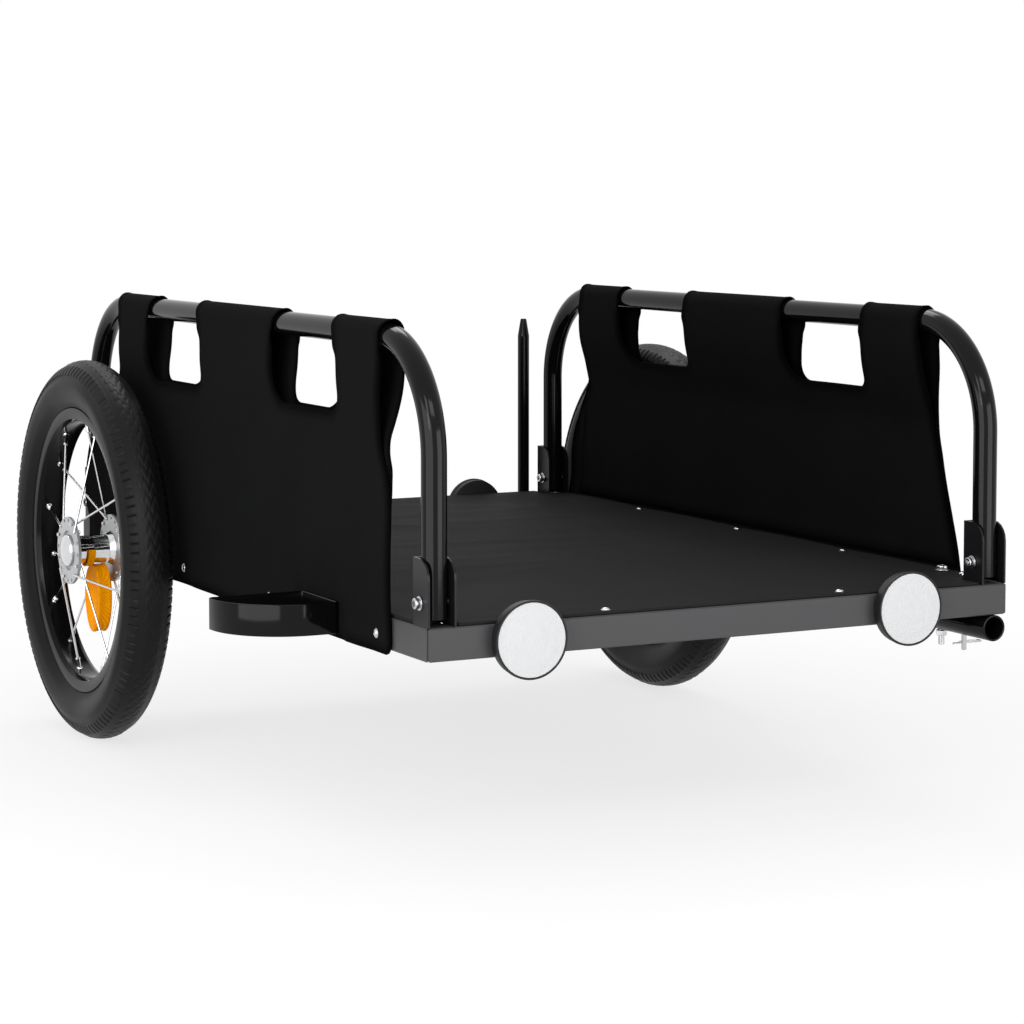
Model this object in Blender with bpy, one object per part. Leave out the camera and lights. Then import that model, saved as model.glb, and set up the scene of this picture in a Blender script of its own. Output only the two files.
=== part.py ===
# Bicycle cargo trailer with two spoked wheels, a fabric deck, two tube hoops with fabric side
# covers, round reflectors, wheel deflectors, a flag post and an empty drawbar socket.
# Metres, +Z up. The front of the trailer faces -Y. The origin is the middle of the drawbar
# socket's mouth. Inside the trailer's own frame X = 0 is the centreline, Y = 0 the front face
# of the frame and Z = 0 the ground.
import math

import bmesh
import bpy
from mathutils import Matrix, Vector

# Clearances
seat_gap = 0.0003
weld_distance = 0.00001
cut_overrun = 0.004

# Wheels
wheel_radius = 0.203
tyre_width = 0.0525
tyre_height = 0.050
tyre_crown_height = 0.0265
tyre_bead_width = 0.032
rim_edge_gap = 0.0005
rim_edge_width = 0.034
rim_shoulder_depth = 0.012
rim_shoulder_width = 0.0315
rim_bed_depth = 0.0145
rim_bed_width = 0.022
rim_lip = 0.0022
wheel_outset = 0.0448
wheel_rear_inset = 0.159
tyre_segments = 56
tyre_crown_steps = 8
tyre_side_steps = 3
rim_segments = 48

# Hubs, axles and spokes
axle_radius = 0.006
axle_reach = 0.018
hub_bore_clearance = 0.0006
hub_half_width = 0.030
hub_bore_depth = 0.051
hub_end_radius = 0.014
hub_barrel_radius = 0.0155
flange_radius = 0.036
flange_thickness = 0.003
flange_offset = 0.024
flange_dish = 0.002
cap_radius = 0.017
cap_height = 0.0095
cap_shoulder_share = 0.45
cap_steps = 5
hub_segments = 24
recess_radius = 0.0215
recess_depth = 0.0025
spoke_radius = 0.00115
spoke_hole_radius = 0.0325
spoke_rim_offset = 0.003
spokes_per_flange = 8
first_spoke_degrees = 31
spoke_lean_degrees = 33.75
spoke_stagger_share = 0.5
spoke_sides = 6
receiver_radius = 0.012
receiver_length = 0.0115

# Amber reflector between the spokes
amber_length = 0.074
amber_width = 0.040
amber_thickness = 0.022
amber_inset = 0.008
amber_segments = 16
amber_rings = 8

# Frame
frame_width = 0.606
frame_length = 0.904
rail_height = 0.029
rail_width = 0.028
rail_chamfer = 0.0012
cross_tube_size = 0.022
front_cross_setback = 0.330

# Deck
deck_thickness = 0.0026
deck_edge_inset = 0.0015
deck_notch_clearance = 0.0022

# Hoops and their brackets
hoop_tube_radius = 0.01125
hoop_inset = 0.0146
hoop_front_setback = 0.0165
hoop_rear_inset = 0.019
hoop_rise = 0.2445
hoop_bend_radius = 0.102
hoop_leg_lift = 0.006
hoop_sides = 16
hoop_bend_steps = 8
bracket_plate = 0.002
bracket_height = 0.058
bracket_front_reach = 0.016
bracket_corner_radius = 0.018
bracket_corner_steps = 5
bracket_bolt_height = 0.020
bracket_bolt_radius = 0.003
bracket_bolt_head_radius = 0.0048
bracket_bolt_head_length = 0.0055
bracket_bolt_tip = 0.0018
bolt_steps = 12

# Side covers
cover_thickness = 0.0016
cover_gap = 0.0005
sleeve_gap = 0.0010
cover_tab_inset = 0.0853
cover_shoulder_rise = 0.1345
cover_front_shoulder_flare = 0.007
cover_front_hem_flare = 0.033
cover_front_hem_rise = 0.1045
cover_rear_shoulder_flare = 0.0188
cover_rear_hem_flare = 0.074
cover_rear_hem_rise = 0.080
cover_hem_drop = 0.0025
cover_hem_radius = 0.014
cover_join_rise = 0.1185
cover_join_depth = 0.0075
cover_end_tab = 0.100
cover_window = 0.143
window_sill_rise = 0.1725
window_corner_radius = 0.020
cover_top_margin = 0.020
cover_arc_steps = 8
cover_corner_steps = 4
axle_notch_width = 0.036
axle_notch_rise = 0.019

# Round reflectors
reflector_radius = 0.0345
reflector_back_radius = 0.030
reflector_depth = 0.0125
reflector_rim_depth = 0.004
lens_radius = 0.0325
lens_thickness = 0.002
lens_crown = 0.0008
lens_steps = 3
front_left_reflector_inset = 0.094
front_right_reflector_inset = 0.118
rear_reflector_inset = 0.108
reflector_steps = 28

# Drawbar socket with its bolt and locking pin
socket_radius = 0.0125
socket_wall = 0.002
socket_length = 0.150
socket_steps = 24
socket_bolt_setback = 0.0835
socket_bolt_radius = 0.003
socket_bolt_head_radius = 0.006
socket_bolt_head_height = 0.005
socket_nut_radius = 0.0052
socket_nut_height = 0.0055
socket_bolt_tip = 0.009
pin_setback = 0.047
pin_radius = 0.0025
pin_head_radius = 0.0055
pin_head_height = 0.004
pin_tail = 0.015
clip_wire_radius = 0.0009
clip_height_share = 0.5
clip_short_reach = 0.013
clip_long_reach = 0.018
clip_ring_radius = 0.004
clip_sides = 6
clip_ring_steps = 12

# Wheel deflectors
deflector_strip = 0.002
deflector_front_setback = 0.1795
deflector_rear_setback = 0.261
deflector_reach = 0.098
deflector_curve_radius = 0.070
deflector_rear_radius = 0.006
deflector_foot_radius = 0.004
deflector_curve_steps = 10
deflector_corner_steps = 3

# Flag post
post_radius = 0.007
post_inset = 0.0384
post_rise = 0.213
post_taper = 0.021
post_tip_radius = 0.0035
post_steps = 20
clamp_plate = 0.0025
clamp_width = 0.036
clamp_wall = 0.0025
clamp_height = 0.024

# Heights and places worked out from the sizes above
tyre_bulge_radius = wheel_radius - tyre_crown_height
tyre_bead_radius = wheel_radius - tyre_height
rim_edge_radius = tyre_bead_radius - rim_edge_gap
rim_shoulder_radius = rim_edge_radius - rim_shoulder_depth
rim_bed_radius = rim_edge_radius - rim_bed_depth
rail_bottom = wheel_radius - rail_height / 2
rail_top = rail_bottom + rail_height
deck_bottom = rail_top + seat_gap
deck_top = deck_bottom + deck_thickness
half_width = frame_width / 2
wheel_setback = frame_length - wheel_rear_inset
hoop_rear_setback = frame_length - hoop_rear_inset
hoop_axis_height = rail_top + hoop_rise
cover_start = hoop_front_setback + cover_tab_inset
cover_end = hoop_rear_setback - cover_tab_inset
cover_hem_height = rail_bottom - cover_hem_drop
window_sill_height = rail_top + window_sill_rise
socket_offset = half_width - rail_width / 2
socket_height = rail_bottom - seat_gap - socket_radius
wheel_offset = half_width + wheel_outset
bolt_height = rail_top + bracket_bolt_height

# Looks: colour, roughness, metallic
black_enamel = ((0.020, 0.020, 0.021), 0.25, 0.0)
grey_enamel = ((0.085, 0.085, 0.088), 0.45, 0.0)
black_fabric = ((0.012, 0.012, 0.013), 0.85, 0.0)
deck_fabric = ((0.022, 0.022, 0.024), 0.75, 0.0)
black_rubber = ((0.016, 0.016, 0.016), 0.8, 0.0)
bright_metal = ((0.72, 0.72, 0.73), 0.18, 1.0)
black_plastic = ((0.015, 0.015, 0.015), 0.5, 0.0)
white_lens = ((0.86, 0.87, 0.88), 0.3, 0.0)
red_lens = ((0.55, 0.015, 0.012), 0.25, 0.0)
amber_lens = ((0.95, 0.36, 0.01), 0.25, 0.0)


def clear_scene():
    for item in list(bpy.data.objects):
        bpy.data.objects.remove(item)


def empty(name, parent, location):
    marker = bpy.data.objects.new(name, None)
    bpy.context.scene.collection.objects.link(marker)
    marker.parent = parent
    marker.location = location
    return marker


def dressed(name, look):
    colour, roughness, metallic = look
    material = bpy.data.materials.new(name)
    material.use_nodes = True
    shader = material.node_tree.nodes["Principled BSDF"]
    shader.inputs["Base Color"].default_value = (*colour, 1)
    shader.inputs["Roughness"].default_value = roughness
    shader.inputs["Metallic"].default_value = metallic
    material.diffuse_color = (*colour, 1)
    return material


def piece(name, shape, parent, look, location=(0, 0, 0), turn=(0, 0, 0), smooth=True):
    """Makes a named object of a finished bmesh."""
    data = bpy.data.meshes.new(name)
    shape.to_mesh(data)
    shape.free()
    if smooth:
        data.shade_smooth()
        data.set_sharp_from_angle(angle=math.radians(35))
    made = bpy.data.objects.new(name, data)
    made.data.materials.append(dressed(name, look))
    bpy.context.scene.collection.objects.link(made)
    made.parent = parent
    made.location = location
    made.rotation_euler = turn
    return made


def cutter(name, shape, parent, location=(0, 0, 0), turn=(0, 0, 0)):
    made = piece(name, shape, parent, black_plastic, location, turn, smooth=False)
    made.hide_render = True
    made.display_type = "WIRE"
    return made


def combine(target, other, operation):
    step = target.modifiers.new(other.name, "BOOLEAN")
    step.operation = operation
    step.solver = "EXACT"
    step.object = other


def chamfer(target, width):
    step = target.modifiers.new("chamfer", "BEVEL")
    step.width = width
    step.segments = 1


def prism(outline, depth):
    """A bmesh of an outline of 3D points, extruded by the vector depth."""
    shape = bmesh.new()
    face = shape.faces.new([shape.verts.new(point) for point in outline])
    grown = bmesh.ops.extrude_face_region(shape, geom=[face])
    moved = [part for part in grown["geom"] if isinstance(part, bmesh.types.BMVert)]
    bmesh.ops.translate(shape, verts=moved, vec=depth)
    bmesh.ops.recalc_face_normals(shape, faces=shape.faces)
    return shape


def box(low, high):
    """A bmesh of an upright box between two corners."""
    outline = [
        (low[0], low[1], low[2]),
        (high[0], low[1], low[2]),
        (high[0], high[1], low[2]),
        (low[0], high[1], low[2]),
    ]
    return prism(outline, (0, 0, high[2] - low[2]))


def turned(profile, steps, loop=False):
    """A bmesh of (radius, along) points turned about X. A loop joins its last point to its first."""
    shape = bmesh.new()
    points = [shape.verts.new((along, 0, radius)) for radius, along in profile]
    pairs = list(zip(points, points[1:])) + ([(points[-1], points[0])] if loop else [])
    edges = [shape.edges.new(pair) for pair in pairs]
    bmesh.ops.spin(
        shape,
        geom=points + edges,
        axis=(1, 0, 0),
        cent=(0, 0, 0),
        angle=2 * math.pi,
        steps=steps,
        use_merge=True,
    )
    bmesh.ops.remove_doubles(shape, verts=shape.verts, dist=weld_distance)
    bmesh.ops.recalc_face_normals(shape, faces=shape.faces)
    return shape


def swept(path, radius, sides):
    """A bmesh of a round bar along a path of points, with flat ends."""
    shape = bmesh.new()
    path = [Vector(point) for point in path]
    last = len(path) - 1
    side = (path[1] - path[0]).orthogonal().normalized()
    rings = []
    for i, point in enumerate(path):
        along = (path[min(i + 1, last)] - path[max(i - 1, 0)]).normalized()
        side = (side - along * side.dot(along)).normalized()
        up = along.cross(side)
        angles = [2 * math.pi * k / sides for k in range(sides)]
        rings.append(
            [shape.verts.new(point + radius * (math.cos(a) * side + math.sin(a) * up)) for a in angles]
        )
    for near, far in zip(rings, rings[1:]):
        for k in range(sides):
            following = (k + 1) % sides
            shape.faces.new((near[k], near[following], far[following], far[k]))
    shape.faces.new(list(reversed(rings[0])))
    shape.faces.new(rings[-1])
    return shape


def arc(centre, radius, start, end, steps):
    """Points on an arc in the plane, with angles in degrees."""
    angles = [math.radians(start + (end - start) * k / steps) for k in range(steps + 1)]
    return [(centre[0] + radius * math.cos(a), centre[1] + radius * math.sin(a)) for a in angles]


def upright(shape):
    """Turns a bmesh made along X so that it stands along Z."""
    bmesh.ops.rotate(shape, verts=shape.verts, cent=(0, 0, 0), matrix=Matrix.Rotation(-math.pi / 2, 3, "Y"))
    return shape


def facing(shape, backward):
    """Turns a bmesh made along X so that it points to -Y, or to +Y when backward."""
    quarter = math.pi / 2 if backward else -math.pi / 2
    bmesh.ops.rotate(shape, verts=shape.verts, cent=(0, 0, 0), matrix=Matrix.Rotation(quarter, 3, "Z"))
    return shape


def mitred_rail(name, parent, length, location, turn):
    """One square tube of the frame ring, cut at 45 degrees at both ends."""
    outer = length / 2 - seat_gap
    inner = outer - rail_width
    outline = [(-outer, 0, 0), (outer, 0, 0), (inner, rail_width, 0), (-inner, rail_width, 0)]
    rail = piece(name, prism(outline, (0, 0, rail_height)), parent, grey_enamel, location, (0, 0, turn))
    chamfer(rail, rail_chamfer)
    return rail


def frame_ring(parent):
    quarter = math.pi / 2
    middle = frame_length / 2
    mitred_rail("frame_front_rail", parent, frame_width, (0, 0, rail_bottom), 0)
    mitred_rail("frame_rear_rail", parent, frame_width, (0, frame_length, rail_bottom), 2 * quarter)
    mitred_rail("frame_left_rail", parent, frame_length, (-half_width, middle, rail_bottom), -quarter)
    return mitred_rail("frame_right_rail", parent, frame_length, (half_width, middle, rail_bottom), quarter)


def cross_tubes(parent):
    reach = half_width - rail_width - seat_gap
    half = cross_tube_size / 2
    for name, setback in (("front_cross_tube", front_cross_setback), ("axle_cross_tube", wheel_setback)):
        low = (-reach, setback - half, wheel_radius - half)
        high = (reach, setback + half, wheel_radius + half)
        chamfer(piece(name, box(low, high), parent, black_enamel), rail_chamfer)


def deck(parent):
    """The fabric deck on top of the rails, with its corners cut out round the hoop brackets."""
    edge = half_width - deck_edge_inset
    notch_in = half_width - hoop_inset - bracket_half_width() - deck_notch_clearance
    front, rear = deck_edge_inset, frame_length - deck_edge_inset
    front_notch = hoop_front_setback + bracket_back() + deck_notch_clearance
    rear_notch = hoop_rear_setback - bracket_front_reach - deck_notch_clearance
    right_side = [
        (notch_in, front),
        (notch_in, front_notch),
        (edge, front_notch),
        (edge, rear_notch),
        (notch_in, rear_notch),
        (notch_in, rear),
    ]
    left_side = [(-x, y) for x, y in reversed(right_side)]
    outline = [(x, y, deck_bottom) for x, y in right_side + left_side]
    return piece("deck_fabric", prism(outline, (0, 0, deck_thickness)), parent, deck_fabric, smooth=False)


def bracket_half_width():
    return hoop_tube_radius + seat_gap + bracket_plate


def bracket_back():
    return hoop_tube_radius + seat_gap + bracket_plate


def hoop_bracket(name, parent, side, setback, hole):
    """A channel of two ears and a rear web, open to the front, with rounded front top corners."""
    base = rail_top + seat_gap
    top = base + bracket_height
    front, back = -bracket_front_reach, bracket_back()
    half = bracket_half_width()
    corner = (front + bracket_corner_radius, top - bracket_corner_radius)
    rounded = arc(corner, bracket_corner_radius, 180, 90, bracket_corner_steps)
    outline = [(front, base)] + rounded + [(back, top), (back, base)]
    place = (side * (half_width - hoop_inset), setback, 0)
    body = prism([(-half, y, z) for y, z in outline], (2 * half, 0, 0))
    bracket = piece(name, body, parent, grey_enamel, place)
    inner = half - bracket_plate
    low = (-inner, front - cut_overrun, base - cut_overrun)
    high = (inner, back - bracket_plate, top + cut_overrun)
    combine(bracket, cutter(name + "_channel", box(low, high), parent, place), "DIFFERENCE")
    combine(bracket, hole, "DIFFERENCE")


def bolt_hole(name, parent, side, setback):
    """The cutter for the hole of one bracket bolt, through both ears and the tube."""
    reach = bracket_half_width() + cut_overrun
    radius = bracket_bolt_radius + seat_gap
    shape = turned([(0, -reach), (radius, -reach), (radius, reach), (0, reach)], bolt_steps)
    return cutter(name, shape, parent, (side * (half_width - hoop_inset), setback, bolt_height))


def bracket_bolt(name, parent, side, setback):
    """A bolt along X with its round head on the -X side."""
    half = bracket_half_width()
    head_face = -half - seat_gap
    profile = [
        (0, head_face - bracket_bolt_head_length),
        (bracket_bolt_head_radius, head_face - bracket_bolt_head_length),
        (bracket_bolt_head_radius, head_face),
        (bracket_bolt_radius, head_face),
        (bracket_bolt_radius, half + bracket_bolt_tip),
        (0, half + bracket_bolt_tip),
    ]
    place = (side * (half_width - hoop_inset), setback, bolt_height)
    piece(name, turned(profile, bolt_steps), parent, bright_metal, place)


def hoop(name, parent, side, holes):
    """A tube bent into an upside-down U along one side of the frame."""
    foot = rail_top + hoop_leg_lift
    knee = hoop_axis_height - hoop_bend_radius
    front, rear = hoop_front_setback, hoop_rear_setback
    rise = arc((front + hoop_bend_radius, knee), hoop_bend_radius, 180, 90, hoop_bend_steps)
    fall = arc((rear - hoop_bend_radius, knee), hoop_bend_radius, 90, 0, hoop_bend_steps)
    path = [(front, foot)] + rise + fall + [(rear, foot)]
    shape = swept([(0, y, z) for y, z in path], hoop_tube_radius, hoop_sides)
    tube = piece(name, shape, parent, black_enamel, (side * (half_width - hoop_inset), 0, 0))
    for hole in holes:
        combine(tube, hole, "DIFFERENCE")


def cover_section():
    """The cover seen from its end, as (out, up) points: one outline and one hollow round the tube."""
    centre = -hoop_inset
    inner_radius = hoop_tube_radius + sleeve_gap
    outer_radius = inner_radius + cover_thickness
    bend = rail_top + cover_thickness
    top = hoop_axis_height
    hem = cover_hem_height
    out, back = cover_gap + cover_thickness, cover_gap
    join = rail_top + cover_join_rise
    share = (join - bend) / (top - bend)
    join_out = back + (centre + inner_radius - back) * share
    over = arc((centre, top), outer_radius, 0, 180, cover_arc_steps)
    outline = [(out, hem), (out, bend)] + over + [(join_out, join), (back, bend), (back, hem)]
    hollow = arc((centre, top), inner_radius, 0, 180, cover_arc_steps)
    tip = join + cover_join_depth
    share = (tip - bend) / (top - bend)
    apex = back + (centre + inner_radius - back) * share
    hollow = hollow + [(apex, tip)]
    return outline, hollow


def cover_half(shoulder_flare, hem_flare, hem_rise):
    """One end of the cover and its window, as (setback, height): the end flares towards the hem."""
    top = hoop_axis_height + cover_top_margin
    hem_edge = cover_start - hem_flare
    window_near = cover_start + cover_end_tab
    window_far = window_near + cover_window
    steps = cover_corner_steps
    radius = window_corner_radius
    sill = window_sill_height + radius
    return (
        arc((hem_edge + cover_hem_radius, cover_hem_height + cover_hem_radius), cover_hem_radius, 270, 180, steps)
        + [(hem_edge, rail_top + hem_rise), (cover_start - shoulder_flare, rail_top + cover_shoulder_rise)]
        + [(cover_start, sill), (cover_start, top), (window_near, top)]
        + arc((window_near + radius, sill), radius, 180, 270, steps)
        + arc((window_far - radius, sill), radius, 270, 360, steps)
        + [(window_far, top)]
    )


def cover_outline():
    """The cover seen from the side, as (setback, height): tabs, windows, flared ends, axle notch."""
    middle = (cover_start + cover_end) / 2
    front = cover_half(cover_front_shoulder_flare, cover_front_hem_flare, cover_front_hem_rise)
    rear = cover_half(cover_rear_shoulder_flare, cover_rear_hem_flare, cover_rear_hem_rise)
    mirrored = [(2 * middle - y, z) for y, z in reversed(rear)]
    notch = axle_notch_width / 2
    notch_top = wheel_radius + axle_notch_rise - notch
    gap = arc((wheel_setback, notch_top), notch, 0, 180, 2 * cover_corner_steps)
    gap = [(wheel_setback + notch, cover_hem_height)] + gap + [(wheel_setback - notch, cover_hem_height)]
    return front + mirrored + gap


def side_cover(name, parent, side):
    """A fabric side sheet hung over the hoop by three sleeves, its hem outside the frame."""
    outline, hollow = cover_section()
    place = (side * half_width, cover_start - cover_front_hem_flare, 0)
    length = cover_end - cover_start + cover_front_hem_flare + cover_rear_hem_flare
    body = prism([(side * u, 0, z) for u, z in outline], (0, length, 0))
    cover = piece(name, body, parent, black_fabric, place)
    longer = (0, length + 2 * cut_overrun, 0)
    shape = prism([(side * u, -cut_overrun, z) for u, z in hollow], longer)
    combine(cover, cutter(name + "_hollow", shape, parent, place), "DIFFERENCE")
    reach = hoop_inset + hoop_tube_radius + sleeve_gap + cover_thickness + cut_overrun
    shape = prism([(-reach, y, z) for y, z in cover_outline()], (2 * reach, 0, 0))
    combine(cover, cutter(name + "_outline", shape, parent, (side * half_width, 0, 0)), "INTERSECT")


def reflector(name, parent, offset, backward, look):
    """A round reflector on the frame's front or rear face: a black cup and its lens."""
    rim_start = reflector_depth - reflector_rim_depth
    seat = reflector_depth - lens_thickness - seat_gap
    cup = [
        (0, 0),
        (reflector_back_radius, 0),
        (reflector_back_radius, rim_start),
        (reflector_radius, rim_start + seat_gap),
        (reflector_radius, reflector_depth),
        (lens_radius + seat_gap, reflector_depth),
        (lens_radius + seat_gap, seat),
        (0, seat),
    ]
    lens = [(0, seat + seat_gap), (lens_radius, seat + seat_gap)]
    for k in range(lens_steps + 1):
        share = 1 - k / lens_steps
        lens.append((lens_radius * share, reflector_depth - lens_crown * share * share))
    spot = frame_length + seat_gap if backward else -seat_gap
    place = (offset, spot, wheel_radius)
    piece(name + "_cup", facing(turned(cup, reflector_steps), backward), parent, black_plastic, place)
    piece(name + "_lens", facing(turned(lens, reflector_steps), backward), parent, look, place)


def reflectors(parent):
    reflector("front_left_reflector", parent, front_left_reflector_inset - half_width, False, white_lens)
    reflector("front_right_reflector", parent, half_width - front_right_reflector_inset, False, white_lens)
    reflector("rear_left_reflector", parent, rear_reflector_inset - half_width, True, red_lens)
    reflector("rear_right_reflector", parent, half_width - rear_reflector_inset, True, red_lens)


def socket_hole(name, parent, radius, setback):
    """The cutter for an upright hole through the deck, the rail and the socket."""
    low = socket_height - socket_radius - cut_overrun
    high = deck_top + cut_overrun
    bore = radius + seat_gap
    shape = upright(turned([(0, low), (bore, low), (bore, high), (0, high)], bolt_steps))
    return cutter(name, shape, parent, (socket_offset, setback, 0))


def drawbar_socket(parent, right_rail, deck_sheet):
    """The open tube under the right rail, with the bolt and the pin that pass through it."""
    bore = socket_radius - socket_wall
    ring = [(bore, 0), (socket_radius, 0), (socket_radius, socket_length), (bore, socket_length)]
    shape = facing(turned(ring, socket_steps, loop=True), True)
    tube = piece("drawbar_socket", shape, parent, black_enamel, (socket_offset, 0, socket_height))
    bolt = socket_hole("socket_bolt_hole", parent, socket_bolt_radius, socket_bolt_setback)
    pin = socket_hole("locking_pin_hole", parent, pin_radius, pin_setback)
    for carrier in (tube, right_rail, deck_sheet):
        combine(carrier, bolt, "DIFFERENCE")
        combine(carrier, pin, "DIFFERENCE")
    underside = socket_height - socket_radius - seat_gap
    socket_bolt(parent, underside)
    locking_pin(parent, underside)


def socket_bolt(parent, underside):
    seat = deck_top + seat_gap
    tip = underside - socket_bolt_tip - socket_nut_height
    profile = [
        (0, tip),
        (socket_bolt_radius, tip),
        (socket_bolt_radius, underside - socket_nut_height),
        (socket_nut_radius, underside - socket_nut_height),
        (socket_nut_radius, underside),
        (socket_bolt_radius, underside),
        (socket_bolt_radius, seat),
        (socket_bolt_head_radius, seat),
        (socket_bolt_head_radius, seat + socket_bolt_head_height),
        (0, seat + socket_bolt_head_height),
    ]
    place = (socket_offset, socket_bolt_setback, 0)
    piece("socket_bolt", upright(turned(profile, bolt_steps)), parent, bright_metal, place)


def locking_pin(parent, underside):
    seat = deck_top + seat_gap
    tail = underside - pin_tail
    profile = [
        (0, tail),
        (pin_radius, tail),
        (pin_radius, seat),
        (pin_head_radius, seat),
        (pin_head_radius, seat + pin_head_height),
        (0, seat + pin_head_height),
    ]
    place = (socket_offset, pin_setback, 0)
    pin = piece("locking_pin", upright(turned(profile, bolt_steps)), parent, bright_metal, place)
    height = underside - pin_tail * clip_height_share
    bore = clip_wire_radius + seat_gap
    reach = pin_radius + cut_overrun
    shape = turned([(0, -reach), (bore, -reach), (bore, reach), (0, reach)], clip_sides)
    through = (socket_offset, pin_setback, height)
    combine(pin, cutter("clip_hole", shape, parent, through), "DIFFERENCE")
    ring = arc((clip_long_reach, clip_ring_radius), clip_ring_radius, -90, 90, clip_ring_steps // 2)
    back = 2 * clip_ring_radius
    path = [(-clip_short_reach, 0)] + ring + [(pin_radius, back), (-pin_radius, back - clip_ring_radius / 2)]
    wire = swept([(x, y, 0) for x, y in path], clip_wire_radius, clip_sides)
    piece("pin_clip", wire, parent, bright_metal, through)


def deflector_outline(inset):
    """The closed strip seen from above, as (out, setback) points, drawn in by inset."""
    near = cover_gap + cover_thickness + seat_gap + inset
    front = deflector_front_setback + inset
    rear = deflector_rear_setback - inset
    far = deflector_reach - inset
    curve = deflector_curve_radius - inset
    corner = deflector_rear_radius - inset
    foot = deflector_foot_radius - inset
    steps = deflector_corner_steps
    return (
        arc((near + foot, front + foot), foot, 180, 270, steps)
        + arc((far - curve, front + curve), curve, 270, 360, deflector_curve_steps)
        + arc((far - corner, rear - corner), corner, 0, 90, steps)
        + arc((near + foot, rear - foot), foot, 90, 180, steps)
    )


def wheel_deflector(name, parent, side):
    """A flat strip bent into a closed loop with a round front outer corner, ahead of a wheel."""
    shape = bmesh.new()
    low, high = rail_bottom, rail_top
    loops = []
    for inset in (0, deflector_strip):
        points = deflector_outline(inset)
        for height in (low, high):
            loops.append([shape.verts.new((side * u, y, height)) for u, y in points])
    outer_low, outer_high, inner_low, inner_high = loops
    count = len(outer_low)
    for first, second in (
        (outer_low, outer_high),
        (outer_high, inner_high),
        (inner_high, inner_low),
        (inner_low, outer_low),
    ):
        for k in range(count):
            following = (k + 1) % count
            shape.faces.new((first[k], first[following], second[following], second[k]))
    bmesh.ops.recalc_face_normals(shape, faces=shape.faces)
    piece(name, shape, parent, black_enamel, (side * half_width, 0, 0))


def flag_post(parent):
    """A round post behind the rear rail, tapered at its top, in a clamp on the rail."""
    setback = frame_length + seat_gap + clamp_plate + clamp_wall + post_radius
    top = rail_top + post_rise
    profile = [
        (0, rail_bottom),
        (post_radius, rail_bottom),
        (post_radius, top - post_taper),
        (post_tip_radius, top),
        (0, top),
    ]
    place = (half_width - post_inset, setback, 0)
    piece("flag_post", upright(turned(profile, post_steps)), parent, black_enamel, place)
    low = wheel_radius - clamp_height / 2
    high = wheel_radius + clamp_height / 2
    ring = post_radius + seat_gap + clamp_wall
    shape = upright(turned([(0, low), (ring, low), (ring, high), (0, high)], post_steps))
    clamp = piece("post_clamp", shape, parent, black_enamel, place)
    corner = (-clamp_width / 2, frame_length + seat_gap - setback, low)
    far_corner = (clamp_width / 2, frame_length + seat_gap + clamp_plate + clamp_wall - setback, high)
    combine(clamp, cutter("clamp_foot", box(corner, far_corner), parent, place), "UNION")
    bore = post_radius + seat_gap
    low, high = low - cut_overrun, high + cut_overrun
    shape = upright(turned([(0, low), (bore, low), (bore, high), (0, high)], post_steps))
    combine(clamp, cutter("clamp_bore", shape, parent, place), "DIFFERENCE")


def axle(side_name, parent, side):
    """The receiver on the side rail's outer face, and the stub axle in it."""
    turn = (0, 0, 0) if side > 0 else (0, 0, math.pi)
    place = (side * half_width, wheel_setback, wheel_radius)
    bore = axle_radius + seat_gap
    start, end = seat_gap, receiver_length
    ring = [(bore, start), (receiver_radius, start), (receiver_radius, end), (bore, end)]
    shape = turned(ring, socket_steps, loop=True)
    piece("axle_receiver_" + side_name, shape, parent, black_enamel, place, turn)
    tip = wheel_outset + axle_reach
    rod = [(0, start), (axle_radius, start), (axle_radius, tip), (0, tip)]
    piece("axle_" + side_name, turned(rod, socket_steps), parent, bright_metal, place, turn)


def tyre_shape():
    """The tyre's section: a round crown and two sides that draw in to the beads."""
    half = tyre_width / 2
    crown = wheel_radius - tyre_bulge_radius
    bead_angle = math.acos(tyre_bead_width / tyre_width)
    lower = (tyre_bulge_radius - tyre_bead_radius) / math.sin(bead_angle)
    profile = []
    for k in range(tyre_side_steps):
        angle = bead_angle * (1 - k / tyre_side_steps)
        profile.append((tyre_bulge_radius - lower * math.sin(angle), half * math.cos(angle)))
    for k in range(tyre_crown_steps + 1):
        angle = math.pi * k / tyre_crown_steps
        profile.append((tyre_bulge_radius + crown * math.sin(angle), half * math.cos(angle)))
    for k in range(1, tyre_side_steps + 1):
        angle = bead_angle * k / tyre_side_steps
        profile.append((tyre_bulge_radius - lower * math.sin(angle), -half * math.cos(angle)))
    return turned(profile, tyre_segments, loop=True)


def rim_shape():
    """A wide black rim: outer edges, sloped shoulders and a nearly flat spoke bed."""
    half = [
        (rim_edge_radius, rim_edge_width / 2 - rim_lip),
        (rim_edge_radius, rim_edge_width / 2),
        (rim_shoulder_radius, rim_shoulder_width / 2),
        (rim_bed_radius, rim_bed_width / 2),
    ]
    profile = half + [(radius, -along) for radius, along in reversed(half)]
    return turned(profile, rim_segments, loop=True)


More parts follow.
